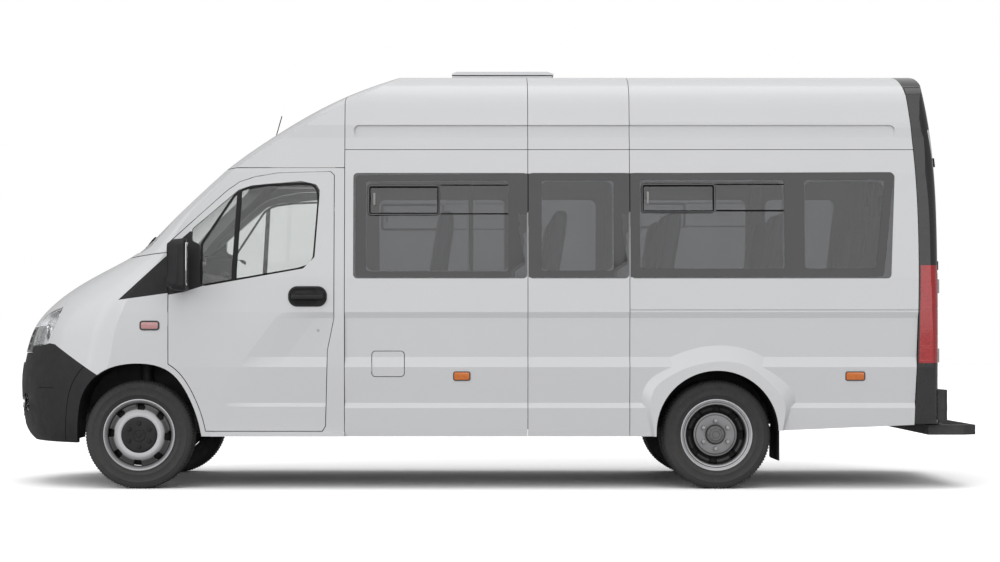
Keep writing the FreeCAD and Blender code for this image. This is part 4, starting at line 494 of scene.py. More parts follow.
def lens(name, colour, scale):
    """Coloured lamp plastic with moulded optics under a smooth face."""
    material, tree, shader, place = start_material(
        name, **{"Coat Weight": 0.8, "Coat Roughness": 0.04, "Roughness": 0.25})
    cells = add(tree, "TexVoronoi", values={"Scale": scale})
    tree.links.new(place, cells.inputs["Vector"])
    mix = add(tree, "Mix", data_type="RGBA")
    mix.inputs["A"].default_value = colour
    mix.inputs["B"].default_value = tuple(c * 0.6 for c in colour[:3]) + (1.0,)
    tree.links.new(cells.outputs["Distance"], mix.inputs["Factor"])
    tree.links.new(mix.outputs["Result"], shader.inputs["Base Color"])
    bump = add(tree, "Bump", values={"Strength": 0.3, "Distance": 0.001})
    tree.links.new(cells.outputs["Distance"], bump.inputs["Height"])
    tree.links.new(bump.outputs["Normal"], shader.inputs["Normal"])
    return material


def seat_cloth():
    material, tree, shader, place = start_material("seat_cloth", **{"Roughness": 0.9, "Sheen Weight": 0.3})
    cloth = use_group(tree, WEAVE, place, Threads=160.0, Strength=0.5)
    mix = add(tree, "Mix", data_type="RGBA")
    mix.inputs["A"].default_value = (0.14, 0.145, 0.155, 1)
    mix.inputs["B"].default_value = (0.24, 0.245, 0.26, 1)
    tree.links.new(cloth.outputs["Mask"], mix.inputs["Factor"])
    tree.links.new(mix.outputs["Result"], shader.inputs["Base Color"])
    tree.links.new(cloth.outputs["Normal"], shader.inputs["Normal"])
    return material


MATERIALS = {
    "paint": white_paint("white_paint"),
    "roof_paint": white_paint("roof_paint", ROOF_END_LINE),
    "panel_paint_gap_shade": white_paint("panel_paint_gap_shade", painted_gap_shade=True),
    "moulding": black_moulding(),
    "gloss": black_gloss(),
    "seal": rubber_seal(),
    "deep": deep_black(),
    "tyre": tyre_rubber(),
    "silver": wheel_silver(),
    "steel": steel("bare_steel", 0.45, (0.3, 0.5)),
    "chrome": steel("bright_metal", 0.8, (0.06, 0.12), 1.0),
    "iron": steel("cast_iron", 0.18, (0.5, 0.7), 0.6),
    "chassis": painted_steel("chassis_paint", (0.035, 0.035, 0.037, 1)),
    "clear": glass("clear_glass", (0.74, 0.755, 0.75, 1)),
    "tinted": glass("tinted_glass", (0.245, 0.25, 0.262, 1), 1.62),
    "lamp_glass": glass("lamp_glass", (0.93, 0.94, 0.95, 1)),
    "red": lens("red_lens", (0.50, 0.015, 0.02, 1), 90),
    "amber": lens("amber_lens", (0.85, 0.22, 0.03, 1), 160),
    "floor": floor_covering(),
    "lining": moulded("grey_lining", (0.32, 0.32, 0.31, 1)),
    # Light grey used as painted highlight on the lips of the vent window frames
    "lip_highlight_grey": moulded("painted_highlight_grey", (0.17, 0.17, 0.175, 1)),
    "dash": moulded("dark_lining", (0.06, 0.06, 0.065, 1)),
    "cloth": seat_cloth(),
    "rail": painted_steel("rail_coating", (0.22, 0.22, 0.13, 1), (0.3, 0.45)),
    "frit": printed_border(),
    "front_rim": silver_with_painted_light("front_rim_painted_light", FRONT_AXLE, FRONT_WHEEL_PAINTED_LIGHT),
    "rear_rim": silver_with_painted_light("rear_rim_painted_light", REAR_AXLE, REAR_WHEEL_PAINTED_LIGHT),
    "mirror": steel("mirror_silver", 0.85, (0.02, 0.05), 1.0),
    "lamp_tray": steel("lamp_reflector", 0.62, (0.18, 0.30), 0.9),
    "red_bright": lens("red_lens_bright", (0.62, 0.05, 0.05, 1), 70),
    "pink": lens("repeater_plastic", (0.72, 0.36, 0.36, 1), 220),
}

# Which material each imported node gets
NODE_FINISH = {
    "paint": ("fenders", "hood", "cab_frame", "roof_dome", "bulkhead", "hatch_frame", "hatch_lid",
              "rear_door_left", "rear_door_right"),
    "panel_paint_gap_shade": ("side_panels_left", "side_panels_right", "sliding_door_right", "door_left", "door_right",
                    "fuel_flap"),
    "roof_paint": ("roof_panels",),
    "moulding": ("front_bumper", "wheel_housings", "door_trim_left", "door_trim_right", "fuel_tank",
                 "steering_wheel", "corner_trim"),
    "gloss": ("grille", "rear_frame"),
    "clear": ("windscreen", "door_glass_left", "door_glass_right"),
    "tinted": ("side_windows", "rear_glass_left", "rear_glass_right"),
    "lamp_glass": ("headlamps",),
    "red": ("tail_lamps",),
    "amber": ("side_lamps",),
    "chassis": ("chassis_rails", "rear_axle", "leaf_springs", "front_suspension", "rear_bumper",
                "seat_frames"),
    "iron": ("engine", "knuckle_left", "knuckle_right"),
    "steel": ("exhaust", "hinge_pins", "steering_rack"),
    "silver": ("front_rim_left", "front_rim_right", "rear_rims_left", "rear_rims_right"),
    "tyre": ("front_tyre_left", "front_tyre_right", "rear_tyres_left", "rear_tyres_right"),
    "floor": ("floor",),
    "lining": ("body_hoops",),
    "dash": ("dashboard",),
    "cloth": ("seat_cushions",),
    "rail": ("handrails",),
}


def dress_nodes():
    """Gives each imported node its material."""
    for key, names in NODE_FINISH.items():
        for name in names:
            mesh = nodes[name].data
            mesh.materials.clear()
            mesh.materials.append(MATERIALS[key])


dress_nodes()


# Shapes

UP = Vector((0, 0, 1))
REARWARD = Vector((1, 0, 0))
RIGHTWARD = Vector((0, 1, 0))

# The way out of each side, and for each spin axis the way out from it and the way along it
OUTWARD = {"left": -RIGHTWARD, "front": -REARWARD, "rear": REARWARD, "top": UP}
TURNING = {"X": (UP, REARWARD), "Y": (REARWARD, RIGHTWARD)}
FAR = 6.0
WELD = 0.00001


def surface_of(*names):
    """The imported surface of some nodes, to lay pieces on."""
    bm = bmesh.new()
    for name in names:
        bm.from_mesh(nodes[name].data)
    tree = BVHTree.FromBMesh(bm)
    bm.free()
    return tree


def lay(bm, tree, side):
    """Moves each point on to the surface, seen from a side; its height above the middle plane is kept."""
    out = OUTWARD[side]
    for vert in bm.verts:
        rise = vert.co.dot(out)
        flat = vert.co - out * rise
        spot = tree.ray_cast(flat + out * FAR, -out)[0]
        if spot is None:
            near = tree.find_nearest(flat + out)[0]
            spot = flat + out * near.dot(out)
        vert.co = spot + out * rise


def spread(side, points):
    """Two numbers a point, set on the plane that a side is seen on."""
    if side == "left":
        return [Vector((a, 0, b)) for a, b in points]
    if side == "top":
        return [Vector((a, b, 0)) for a, b in points]
    return [Vector((0, a, b)) for a, b in points]


def add_face(bm, side, points, corner=0.0):
    """A flat face through points, its corners rounded."""
    face = bm.faces.new([bm.verts.new(p) for p in spread(side, points)])
    if corner > 0:
        bmesh.ops.bevel(bm, geom=face.verts[:], offset=corner, offset_type="OFFSET", segments=5, profile=0.5,
                        affect="VERTICES", material=-1, clamp_overlap=True)
        bm.faces.ensure_lookup_table()
        face = bm.faces[-1]
    return face


def eased(points, reaches, steps=6):
    """An outline with each corner rounded over its own reach along both sides."""
    outline = []
    for i, (point, reach) in enumerate(zip(points, reaches)):
        corner = Vector(point)
        if reach == 0:
            outline.append(point)
            continue
        before, after = Vector(points[i - 1]), Vector(points[(i + 1) % len(points)])
        start = corner + (before - corner).normalized() * reach
        end = corner + (after - corner).normalized() * reach
        for k in range(steps + 1):
            t = k / steps
            outline.append(tuple(start * (1 - t) ** 2 + corner * 2 * t * (1 - t) + end * t ** 2))
    return outline


def slice_up(bm, side, step):
    """Cuts long faces up, so that they can follow a curved surface."""
    for axis in range(3):
        if abs(OUTWARD[side][axis]) > 0.5:
            continue
        spots = [vert.co[axis] for vert in bm.verts]
        low, high = min(spots), max(spots)
        normal = Vector((0, 0, 0))
        normal[axis] = 1
        count = int((high - low) / step)
        for i in range(count):
            place = normal * (low + (i + 1) * (high - low) / (count + 1))
            everything = bm.verts[:] + bm.edges[:] + bm.faces[:]
            bmesh.ops.bisect_plane(bm, geom=everything, plane_co=place, plane_no=normal)


def lift(bm, faces, side, start, height, edge=0.0):
    """Gives flat faces a thickness outwards from a start height, and breaks the outer edges."""
    out = OUTWARD[side]
    made = bmesh.ops.extrude_face_region(bm, geom=list(faces), use_keep_orig=True)["geom"]
    top = [item for item in made if isinstance(item, bmesh.types.BMVert)]
    top_faces = [item for item in made if isinstance(item, bmesh.types.BMFace)]
    bmesh.ops.translate(bm, vec=out * start, verts=bm.verts[:])
    bmesh.ops.translate(bm, vec=out * height, verts=top)
    if edge > 0:
        inside = set(top_faces)
        rim = [item for item in made if isinstance(item, bmesh.types.BMEdge)
               and sum(face in inside for face in item.link_faces) == 1]
        bmesh.ops.bevel(bm, geom=rim, offset=edge, offset_type="OFFSET", segments=2, profile=0.5,
                        affect="EDGES", material=-1, clamp_overlap=True)


def relief(side, points, start, height, corner=0.0, edge=0.0, frame_width=0.0, holes=(), hole_corner=0.0,
           step=0.0):
    """A plate or a frame in relief: an outline, or the ring left by an inset or by holes."""
    bm = bmesh.new()
    face = add_face(bm, side, points, corner)
    if frame_width > 0:
        bmesh.ops.inset_region(bm, faces=[face], thickness=frame_width, use_even_offset=True,
                               use_boundary=True)
        bmesh.ops.delete(bm, geom=[face], context="FACES_ONLY")
    for hole in holes:
        add_face(bm, side, hole, hole_corner)
    if holes:
        bmesh.ops.delete(bm, geom=bm.faces[:], context="FACES_ONLY")
        bmesh.ops.triangle_fill(bm, edges=bm.edges[:], use_beauty=True, normal=OUTWARD[side])
    bmesh.ops.recalc_face_normals(bm, faces=bm.faces[:])
    if step > 0:
        slice_up(bm, side, step)
    lift(bm, bm.faces[:], side, start, height, edge)
    return bm


def laid(tree, side, *args, **settings):
    """A plate or a frame that follows a surface."""
    bm = relief(side, *args, **settings)
    lay(bm, tree, side)
    return bm


def turned(bm, profile, centre, axis, steps, closed=False):
    """Spins a profile of radius and distance along the axis round a full turn."""
    out, along_axis = TURNING[axis]
    verts = [bm.verts.new(centre + out * r + along_axis * d) for r, d in profile]
    edges = [bm.edges.new(pair) for pair in zip(verts, verts[1:])]
    if closed:
        edges.append(bm.edges.new((verts[-1], verts[0])))
    bmesh.ops.spin(bm, geom=verts + edges, cent=centre, axis=along_axis, angle=2 * math.pi, steps=steps,
                   use_merge=True)
    bmesh.ops.remove_doubles(bm, verts=bm.verts[:], dist=WELD)


def in_mm(profile):
    """A section in metres from one in millimetres."""
    return [(r * MM, d * MM) for r, d in profile]


def joined(*parts):
    """Several shapes as one."""
    whole = bmesh.new()
    for part in parts:
        mesh = bpy.data.meshes.new("part")
        part.to_mesh(mesh)
        part.free()
        whole.from_mesh(mesh)
        bpy.data.meshes.remove(mesh)
    return whole


def make(name, bm, finish, body, replaced=(), sharp=35.0, rounds=0):
    """Ends a shape as a piece of the model."""
    bmesh.ops.remove_doubles(bm, verts=bm.verts[:], dist=WELD)
    bmesh.ops.recalc_face_normals(bm, faces=bm.faces[:])
    mesh = bpy.data.meshes.new(name)
    bm.to_mesh(mesh)
    bm.free()
    mesh.shade_smooth()
    mesh.set_sharp_from_angle(angle=math.radians(sharp))
    mesh.materials.append(MATERIALS[finish])
    piece = bpy.data.objects.new(name, mesh)
    bpy.context.scene.collection.objects.link(piece)
    if rounds:
        modifier = piece.modifiers.new("rounds", "SUBSURF")
        modifier.levels = modifier.render_levels = rounds
    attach(piece, body)
    if replaced:
        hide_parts(*replaced)
    return piece


def mirrored(bm):
    """A copy for the right side of the vehicle."""
    twin = bm.copy()
    bmesh.ops.scale(twin, vec=(1, -1, 1), verts=twin.verts[:])
    return twin


def make_both(name, bm, finish, bodies=("body", "body"), replaced=((), ()), **settings):
    """The left piece and its mirror image on the right."""
    twin = mirrored(bm)
    make(name + "_left", bm, finish, bodies[0], replaced[0], **settings)
    make(name + "_right", twin, finish, bodies[1], replaced[1], **settings)


def at_pixels(*spots):
    return [at_pixel(px, py) for px, py in spots]


def corners(a0, b0, a1, b1):
    """The corners of an upright box, by two opposite ones."""
    return [(a0, b0), (a1, b0), (a1, b1), (a0, b1)]


def block(px0, py0, px1, py1):
    """The corners of an upright box in the photograph's pixels, as side view points."""
    return corners(*at_pixel(px0, py1), *at_pixel(px1, py0))


def shrunk(box, rim):
    """A pixel box made smaller by a rim all round."""
    px0, py0, px1, py1 = box
    return px0 + rim, py0 + rim, px1 - rim, py1 - rim


def add_tube(bm, path, radius, sides=10):
    """A round bar through points: a ring of each run, joined and capped."""
    last = None
    for i, spot in enumerate(path):
        before = path[max(i - 1, 0)]
        after = path[min(i + 1, len(path) - 1)]
        turn = (after - before).to_track_quat("Z", "Y").to_matrix().to_4x4()
        ring = bmesh.ops.create_circle(bm, segments=sides, radius=radius, cap_ends=i in (0, len(path) - 1),
                                       matrix=Matrix.Translation(spot) @ turn)["verts"]
        edges = [edge for edge in bm.edges if edge.verts[0] in ring and edge.verts[1] in ring]
        if last:
            bmesh.ops.bridge_loops(bm, edges=last + edges)
        last = edges


# Wheels

# Sections of the wheels: radius and distance inwards from the wheel's face, in millimetres
HALF_TYRE_WIDTH = 0.0975
TYRE_SIDE = [
    (216, 70), (222, 84), (234, 90), (244, 90.5), (250, 94), (256, 95.5), (259, 97.4), (263, 97.4),
    (266, 95.8), (288, 97), (304, 96.6), (306, 97.5), (309, 97.5), (311, 96), (322, 93.5), (331, 90),
    (339, 84.5), (345.5, 77), (348.5, 66), (349.6, 54),
]
TREAD = [
    (349.7, 50), (341, 48), (341, 41), (350, 39), (350, 20), (342, 18), (342, 11), (350, 9), (350, 0),
]
FRONT_RIM = [
    (232, -7), (234, -3), (231, 0), (227, 1), (223, -3), (220, -12), (214, -20), (207, -26), (203, -33),
    (190, -32), (176, -22), (164, -14), (157, -9), (140, -8), (118, -8), (117, -13), (60, -14), (0.001, -14),
    (0.001, -24), (100, -26), (150, -24), (164, -24), (176, -32), (190, -42), (201, -50), (204, -90),
    (210, -150), (222, -165), (225, -178), (232, -184), (234, -180), (228, -172), (222, -150), (216, -110),
    (214, -60), (220, -30), (227, -12),
]
REAR_RIM = [
    (232, -5), (234, -1), (231, 2), (226, 2), (222, -2), (219, -10), (213, -13), (209, -11), (204, -12),
    (199, -18), (196, -36), (192, -60), (189, -84), (182, -96), (166, -104), (150, -96), (142, -84),
    (136, -80), (118, -79), (70, -79), (62, -81), (60, -90), (60, -102), (140, -104), (150, -112),
    (166, -116), (184, -110), (194, -98), (198, -80), (202, -40), (206, -24), (212, -19), (221, -17),
    (227, -10),
]
HUB_CAP = [
    (0.001, -4), (14, -4), (17, -1), (30, -1), (33, -3.5), (40, -3.5), (44, 0), (96, 0), (106, 1), (113, 4),
    (116.5, 8), (116.5, 14), (0.001, 14),
]
# A black cup inside the front rim's barrel, a dark thing put as painted shade behind the disc's vents
WHEEL_SHADE_CUP = [(0.001, 20), (150, 26), (200, 70), (196, 160), (0.001, 160)]
HUB_END = [
    (0.001, -36), (22, -36), (24, -32), (38, -32), (42, -28), (54, -26), (58, -22), (59, 30), (0.001, 30),
]
BRAKE_DRUM = [
    (0.001, 26), (136, 26), (140, 32), (158, 40), (186, 44), (188, 150), (186, 240), (150, 250), (0.001, 250),
]

# The tyre's notched shoulders: how far out they start, between which distances, and each notch's size
TREAD_STEPS = 216
SHOULDER_FROM = 0.3415
SHOULDER_BAND = (0.052, 0.082)
NOTCH_INSET = 0.0012
NOTCH_DEPTH = 0.004

# Vents through the wheel disc: their count, the steps of the spin that each takes, and their rings
VENTS = 8
RIM_STEPS = 96
VENT_SECTORS = (0, 1, 10, 11)
TOP_OF_WHEEL = 0.25
FLAT_ENOUGH = 0.3
FRONT_VENT_RING = (0.168, 0.200)
REAR_VENT_RING = (0.156, 0.190)

# The disc stands this far in from the rear tyre's face, and the hub this far in from the disc
REAR_DISC_DEPTH = 0.004
HUB_DEPTH = 0.079

# Circles that the nuts stand on, and how long the rear ones are
CAP_CIRCLE = 0.076
NUT_CIRCLE = 0.091
HUB_BOLT_CIRCLE = 0.047
NUT_LENGTH = 0.026
CAP_NUT_RISE = 0.005

# The mud flap's strip: its place behind the tyre, thickness, sides and heights
FLAP_PLACE = 0.058
FLAP_SHEET = 0.006
FLAP_WING = ((0.592, 0.500), (0.185, 0.385))


def on_axle(axle, across):
    """A place on an axle, this far right of the vehicle's middle."""
    return axle + Vector((0, across, 0))


def wheel_turn(spot):
    """How far round the wheel a spot lies, as a share of a full turn."""
    return math.atan2(spot.z, spot.x) / (2 * math.pi)


def tyre_ring(bm, centre):
    """One tyre: side walls with raised rings, a grooved tread and notched shoulders."""
    outer = [(r, -d) for r, d in TYRE_SIDE + TREAD]
    inner = [(r, d) for r, d in reversed(TYRE_SIDE + TREAD[:-1])]
    turned(bm, in_mm(outer + inner), centre, "Y", TREAD_STEPS, closed=True)
    notched = []
    for face in bm.faces:
        spot = face.calc_center_median() - centre
        at_shoulder = SHOULDER_BAND[0] < abs(spot.y) < SHOULDER_BAND[1]
        if math.hypot(spot.x, spot.z) < SHOULDER_FROM or not at_shoulder:
            continue
        if int((wheel_turn(spot) % 1.0) * TREAD_STEPS) % 2:
            notched.append(face)
    bmesh.ops.inset_individual(bm, faces=notched, thickness=NOTCH_INSET, depth=-NOTCH_DEPTH,
                               use_even_offset=True)


def rim_disc(profile, vent_ring, centre):
    """A pressed wheel: its section spun round, with vents through the disc."""
    bm = bmesh.new()
    turned(bm, in_mm(profile), centre, "Y", RIM_STEPS, closed=True)
    steps_per_vent = RIM_STEPS // VENTS
    gone = {}
    for face in bm.faces:
        spot = face.calc_center_median() - centre
        in_ring = vent_ring[0] < math.hypot(spot.x, spot.z) < vent_ring[1]
        sector = int(((wheel_turn(spot) - TOP_OF_WHEEL + 0.5 / RIM_STEPS) % 1.0) * RIM_STEPS)
        in_vent = sector % steps_per_vent in VENT_SECTORS
        if in_ring and in_vent and abs(face.normal.y) > FLAT_ENOUGH:
            vent = ((sector + len(VENT_SECTORS) // 2) // steps_per_vent) % VENTS
            gone.setdefault(vent, []).append(face)
    for faces in gone.values():
        rim = [edge for edge in {edge for face in faces for edge in face.edges}
               if sum(other in faces for other in edge.link_faces) == 1]
        bmesh.ops.delete(bm, geom=faces, context="FACES_ONLY")
        loose = [edge for edge in bm.edges if not edge.link_faces]
        bmesh.ops.delete(bm, geom=loose, context="EDGES")
        bmesh.ops.bridge_loops(bm, edges=[edge for edge in rim if edge.is_valid])
    return bm


def nuts(bm, centre, circle, radius, height, count=6, sides=6, tip=0.8):
    """A ring of wheel nuts standing out to the left, the first one on top."""
    for i in range(count):
        angle = math.radians(90.0 + 360.0 * i / count)
        spot = centre + Vector((math.cos(angle) * circle, -height / 2, math.sin(angle) * circle))
        place = Matrix.Translation(spot) @ Matrix.Rotation(math.radians(90), 4, "X")
        bmesh.ops.create_cone(bm, cap_ends=True, segments=sides, radius1=radius, radius2=radius * tip,
                              depth=height, matrix=place)


def front_wheels():
    """Each front wheel: its tyre, its disc, the cap on its hub, and a black cup behind the disc that is
    painted shade inside the wheel.
    """
    face = on_axle(FRONT_AXLE, front_tyre_low.y)
    bodies = ("left_front_wheel", "right_front_wheel")
    tyres = (("front_tyre_left",), ("front_tyre_right",))
    rims = (("front_rim_left",), ("front_rim_right",))
    bm = bmesh.new()
    tyre_ring(bm, on_axle(FRONT_AXLE, front_tyre_low.y + HALF_TYRE_WIDTH))
    make_both("front_tyre_cover", bm, "tyre", bodies, tyres, sharp=50)
    bm = rim_disc([(r, -d) for r, d in FRONT_RIM], FRONT_VENT_RING, face)
    make_both("front_wheel_disc", bm, "front_rim", bodies, rims, rounds=1)
    bm = bmesh.new()
    turned(bm, in_mm(HUB_CAP), face, "Y", 64)
    nuts(bm, face, CAP_CIRCLE, 0.016, 0.007, sides=16, tip=0.7)
    nuts(bm, face - RIGHTWARD * CAP_NUT_RISE, CAP_CIRCLE, 0.008, 0.004)
    make_both("front_hub_cap", bm, "moulding", bodies)
    bm = bmesh.new()
    # Painted shade: a black cup that darkens the wheel's inside behind the vents
    turned(bm, in_mm(WHEEL_SHADE_CUP), face, "Y", 48)
    make_both("front_wheel_shade_cup", bm, "moulding", bodies)


def rear_wheels():
    """Each twin pair: two tyres and discs, with the nuts, the hub's end and the brake drum."""
    bodies = ("left_rear_wheels", "right_rear_wheels")
    tyres = (("rear_tyres_left",), ("rear_tyres_right",))
    rims = (("rear_rims_left",), ("rear_rims_right",))
    outer = bmesh.new()
    tyre_ring(outer, on_axle(REAR_AXLE, rear_tyre_low.y + HALF_TYRE_WIDTH))
    inner = bmesh.new()
    tyre_ring(inner, on_axle(REAR_AXLE, rear_tyre_high.y - HALF_TYRE_WIDTH))
    make_both("rear_tyre_outer", outer, "tyre", bodies, tyres, sharp=50)
    make_both("rear_tyre_inner", inner, "tyre", bodies, sharp=50)
    face = on_axle(REAR_AXLE, rear_tyre_low.y + REAR_DISC_DEPTH)
    inner_face = on_axle(REAR_AXLE, rear_tyre_high.y - REAR_DISC_DEPTH)
    outer = rim_disc([(r, -d) for r, d in REAR_RIM], REAR_VENT_RING, face)
    inner = rim_disc(REAR_RIM, REAR_VENT_RING, inner_face)
    make_both("rear_wheel_disc", outer, "rear_rim", bodies, rims, rounds=1)
    make_both("rear_wheel_disc_inner", inner, "rear_rim", bodies, rounds=1)
    hub = face + RIGHTWARD * HUB_DEPTH
    nut_ends = hub - RIGHTWARD * NUT_LENGTH
    bm = bmesh.new()
    nuts(bm, hub, NUT_CIRCLE, 0.0165, NUT_LENGTH)
    nuts(bm, nut_ends, NUT_CIRCLE, 0.010, 0.006, sides=12)
    make_both("rear_wheel_nuts", bm, "steel", bodies)
    bm = bmesh.new()
    turned(bm, in_mm(HUB_END), hub, "Y", 48)
    nuts(bm, nut_ends, HUB_BOLT_CIRCLE, 0.005, 0.006, count=8)
    make_both("rear_hub_end", bm, "iron", bodies)
    bm = bmesh.new()
    turned(bm, in_mm(BRAKE_DRUM), hub, "Y", 48)
    make_both("rear_brake_drum", bm, "moulding", bodies)


def mud_flap_wings():
    """The rear flaps' inner strips, which close the view past the tyres."""
    (outer, inner), (foot, top) = FLAP_WING
    size = Vector((FLAP_SHEET, outer - inner, top - foot))
    middle = Vector((REAR_AXLE.x + TYRE_RADIUS + FLAP_PLACE, -(outer + inner) / 2, (foot + top) / 2))
    bm = bmesh.new()
    bmesh.ops.create_cube(bm, size=1.0, matrix=Matrix.Translation(middle) @ Matrix.Diagonal(size).to_4x4())
    make_both("mud_flap_wing", bm, "seal")


# Glass and what is on it

# The clear part of each side pane, in the photograph's pixels
CLEAR_CORNER = 0.020
CLEAR_AREAS = (
    [(365.8, 271.3), (508.4, 271.3), (508.4, 180.5), (365.8, 180.5)],
    [(541.8, 270.6), (614.0, 270.6), (614.0, 180.0), (541.8, 180.0)],
    [(640.2, 268.6), (784.6, 268.6), (784.6, 179.4), (640.2, 179.4)],
    [(805.0, 268.4), (876.2, 268.4), (885.6, 179.4), (805.0, 179.4)],
)

# Each printed border: its outline, which of its corners are round, and which clear parts are in it
PANE_CORNER = 0.034
BAND_PANES = (
    ([(355.2, 277.2), (527.7, 277.2), (527.7, 173.0), (355.2, 174.6)], (1, 0, 0, 1), (0,)),
    ([(528.7, 277.2), (629.7, 277.2), (629.7, 172.6), (528.7, 173.0)], (0, 0, 0, 0), (1,)),
    ([(630.7, 277.2), (884.0, 276.8), (895.2, 171.6), (630.7, 172.6)], (0, 1, 1, 0), (2, 3)),
)

# The seams between the panes, and the opening panes with their lips, latches and tracks
BAND_SEAMS = ((527.7, 173.4, 528.7, 277.0), (629.7, 173.0, 630.7, 277.0))
VENT_WINDOWS = ((367.7, 184.6, 439.9, 215.2), (641.4, 183.2, 715.8, 212.8))
VENT_LIP_PX = 0.5
VENT_LATCH_PX = (5.6, 8.2, 7.6, 20.6)
TRACK_LINES = (
    (440.4, 184.2, 508.4, 185.2), (440.4, 213.0, 508.4, 214.2), (716.2, 183.4, 784.6, 184.4),
    (716.2, 209.6, 784.6, 211.2),
)


def window_band():
    """Dark printed borders on the side panes, the sliding vent windows and their tracks."""
    panes = surface_of("side_windows")
    wall = surface_of("side_windows", "side_panels_left")
    for i, (outline, turns, clear) in enumerate(BAND_PANES):
        holes = [at_pixels(*CLEAR_AREAS[k]) for k in clear]
        outline = eased(at_pixels(*outline), [PANE_CORNER * turn for turn in turns])
        bm = laid(wall, "left", outline, 0.0006, 0.0012, holes=holes, hole_corner=CLEAR_CORNER, step=0.12)
        make_both("pane_border_%d" % i, bm, "frit")
    seams = [laid(wall, "left", block(*box), 0.0004, 0.0010, step=0.12) for box in BAND_SEAMS]
    make_both("band_seams", joined(*seams), "deep")
    frames, lips, latches = [], [], []
    for box in VENT_WINDOWS:
        frames.append(laid(panes, "left", block(*box), 0.002, 0.012, corner=0.022, frame_width=0.017,
                           edge=0.002, step=0.12))
        # The lips are light grey as painted highlight along the inner edges of the glossy frames
        lip = block(*shrunk(box, VENT_LIP_PX))
        lips.append(laid(panes, "left", lip, 0.002, 0.0135, corner=0.019, frame_width=0.005, edge=0.001,
                         step=0.12))
        px0, py0, px1, py1 = VENT_LATCH_PX
        latch = block(box[0] + px0, box[1] + py0, box[0] + px1, box[1] + py1)
        latches.append(laid(panes, "left", latch, 0.003, 0.014, corner=0.004, edge=0.002))
    tracks = [laid(panes, "left", block(*box), 0.001, 0.004, step=0.12) for box in TRACK_LINES]
    make_both("vent_frames", joined(*frames), "deep")
    make_both("vent_frame_lips", joined(*lips), "lip_highlight_grey")
    make_both("vent_latches", joined(*latches), "lining")
    make_both("vent_tracks", joined(*tracks), "deep")


# The cab door's pane and what is on the door, in the photograph's pixels
DOOR_PANE = [
    (199.8, 287.0), (200.0, 243.6), (233.6, 193.4), (239.8, 189.0), (249.0, 185.6), (268.0, 183.2),
    (303.0, 181.8), (312.8, 183.0), (317.8, 188.4), (319.4, 200.0), (314.8, 258.0), (310.0, 266.0),
    (298.0, 270.0),
]
DIVIDER = [(230.8, 281.4), (236.0, 280.6), (241.6, 188.6), (236.6, 191.6)]
CAB_DOORS = ("left_cab_door", "right_cab_door")
HANDLE_RIM_BOX = (289.2, 287.4, 326.4, 306.0)
HANDLE_HOLLOWS = ((294.6, 289.4, 316.4, 294.4), (294.6, 299.6, 316.4, 304.4))
HANDLE_GRIP_BOX = (291.4, 294.9, 324.0, 299.4)
KEY_PX = (318.0, 330.2)
KEY_BARREL = [(0.001, -2), (2, -2), (2.4, -3), (6.5, -3), (8.5, -1.6), (9, 2), (0.001, 2)]


def cab_door_glass():
    """The seal round the door pane and the bar that divides it."""
    pane = surface_of("door_glass_left")
    seal = laid(pane, "left", at_pixels(*DOOR_PANE), 0.0015, 0.010, corner=0.018, frame_width=0.015,
                edge=0.003, step=0.10)
    make_both("door_pane_seal", seal, "seal", CAB_DOORS)
    bar = laid(pane, "left", at_pixels(*DIVIDER), 0.0015, 0.011, edge=0.003, step=0.10)
    make_both("door_pane_divider", bar, "seal", CAB_DOORS)


def handle_and_lock():
    """The grip in its dished plate, and the key's place below."""
    plate = surface_of("door_trim_left")
    door = surface_of("door_left")
    rim = laid(plate, "left", block(*HANDLE_RIM_BOX), 0.001, 0.007, corner=0.050, frame_width=0.009,
               edge=0.003)
    hollows = [laid(plate, "left", block(*box), 0.0006, 0.0014, corner=0.012) for box in HANDLE_HOLLOWS]
    grip = laid(plate, "left", block(*HANDLE_GRIP_BOX), 0.002, 0.020, corner=0.012, edge=0.005)
    make_both("door_handle_rim", joined(rim, grip), "moulding", CAB_DOORS)
    make_both("door_handle_hollows", joined(*hollows), "seal", CAB_DOORS)
    x, z = at_pixel(*KEY_PX)
    spot = door.ray_cast(Vector((x, -FAR, z)), RIGHTWARD)[0]
    bm = bmesh.new()
    turned(bm, in_mm(KEY_BARREL), spot, "Y", 24)
    make_both("door_key_barrel", bm, "steel", CAB_DOORS)


# Lamps on the side in the photograph's pixels, and how far each lens stands in from its frame
MARKER_BOXES = ((453.2, 371.4, 470.4, 380.8), (845.4, 371.4, 865.2, 380.8))
REPEATER_BOX = (139.6, 320.6, 159.6, 330.4)
MARKER_RIM_PX = 0.9
REPEATER_RIM_PX = 1.6


def side_markers():
    """Orange marker lamps and the turn repeater, each in a dark frame."""
    skin = surface_of("side_panels_left", "fenders")
    frames = [laid(skin, "left", block(*box), 0.0, 0.006, corner=0.014, frame_width=0.006, edge=0.002)
              for box in MARKER_BOXES]
    frames.append(laid(skin, "left", block(*REPEATER_BOX), 0.0, 0.005, corner=0.020, frame_width=0.011,
                       edge=0.002))
    lenses = [laid(skin, "left", block(*shrunk(box, MARKER_RIM_PX)), 0.0, 0.0075, corner=0.009, edge=0.003)
              for box in MARKER_BOXES]
    repeater = laid(skin, "left", block(*shrunk(REPEATER_BOX, REPEATER_RIM_PX)), 0.0, 0.0055, corner=0.010,
                    edge=0.002)
    make_both("marker_frames", joined(*frames), "gloss")
    markers = joined(*lenses)
    make("marker_lenses", joined(markers, mirrored(markers)), "amber", "body", ("side_lamps",))
    make_both("repeater_lens", repeater, "pink")


# Front

# The way that the front corner is looked at, and the height between head lamp and fog lamp
CORNER_VIEW = Vector((-1.0, -0.35, 0.25)).normalized()
FOG_LAMP_TOP = 0.8

# The head lamp's tray stands this far behind its cover
TRAY_SHIFT = (0.040, 0.012, -0.004)
COVER_WALL = 0.003
TRAY_WALL = 0.002

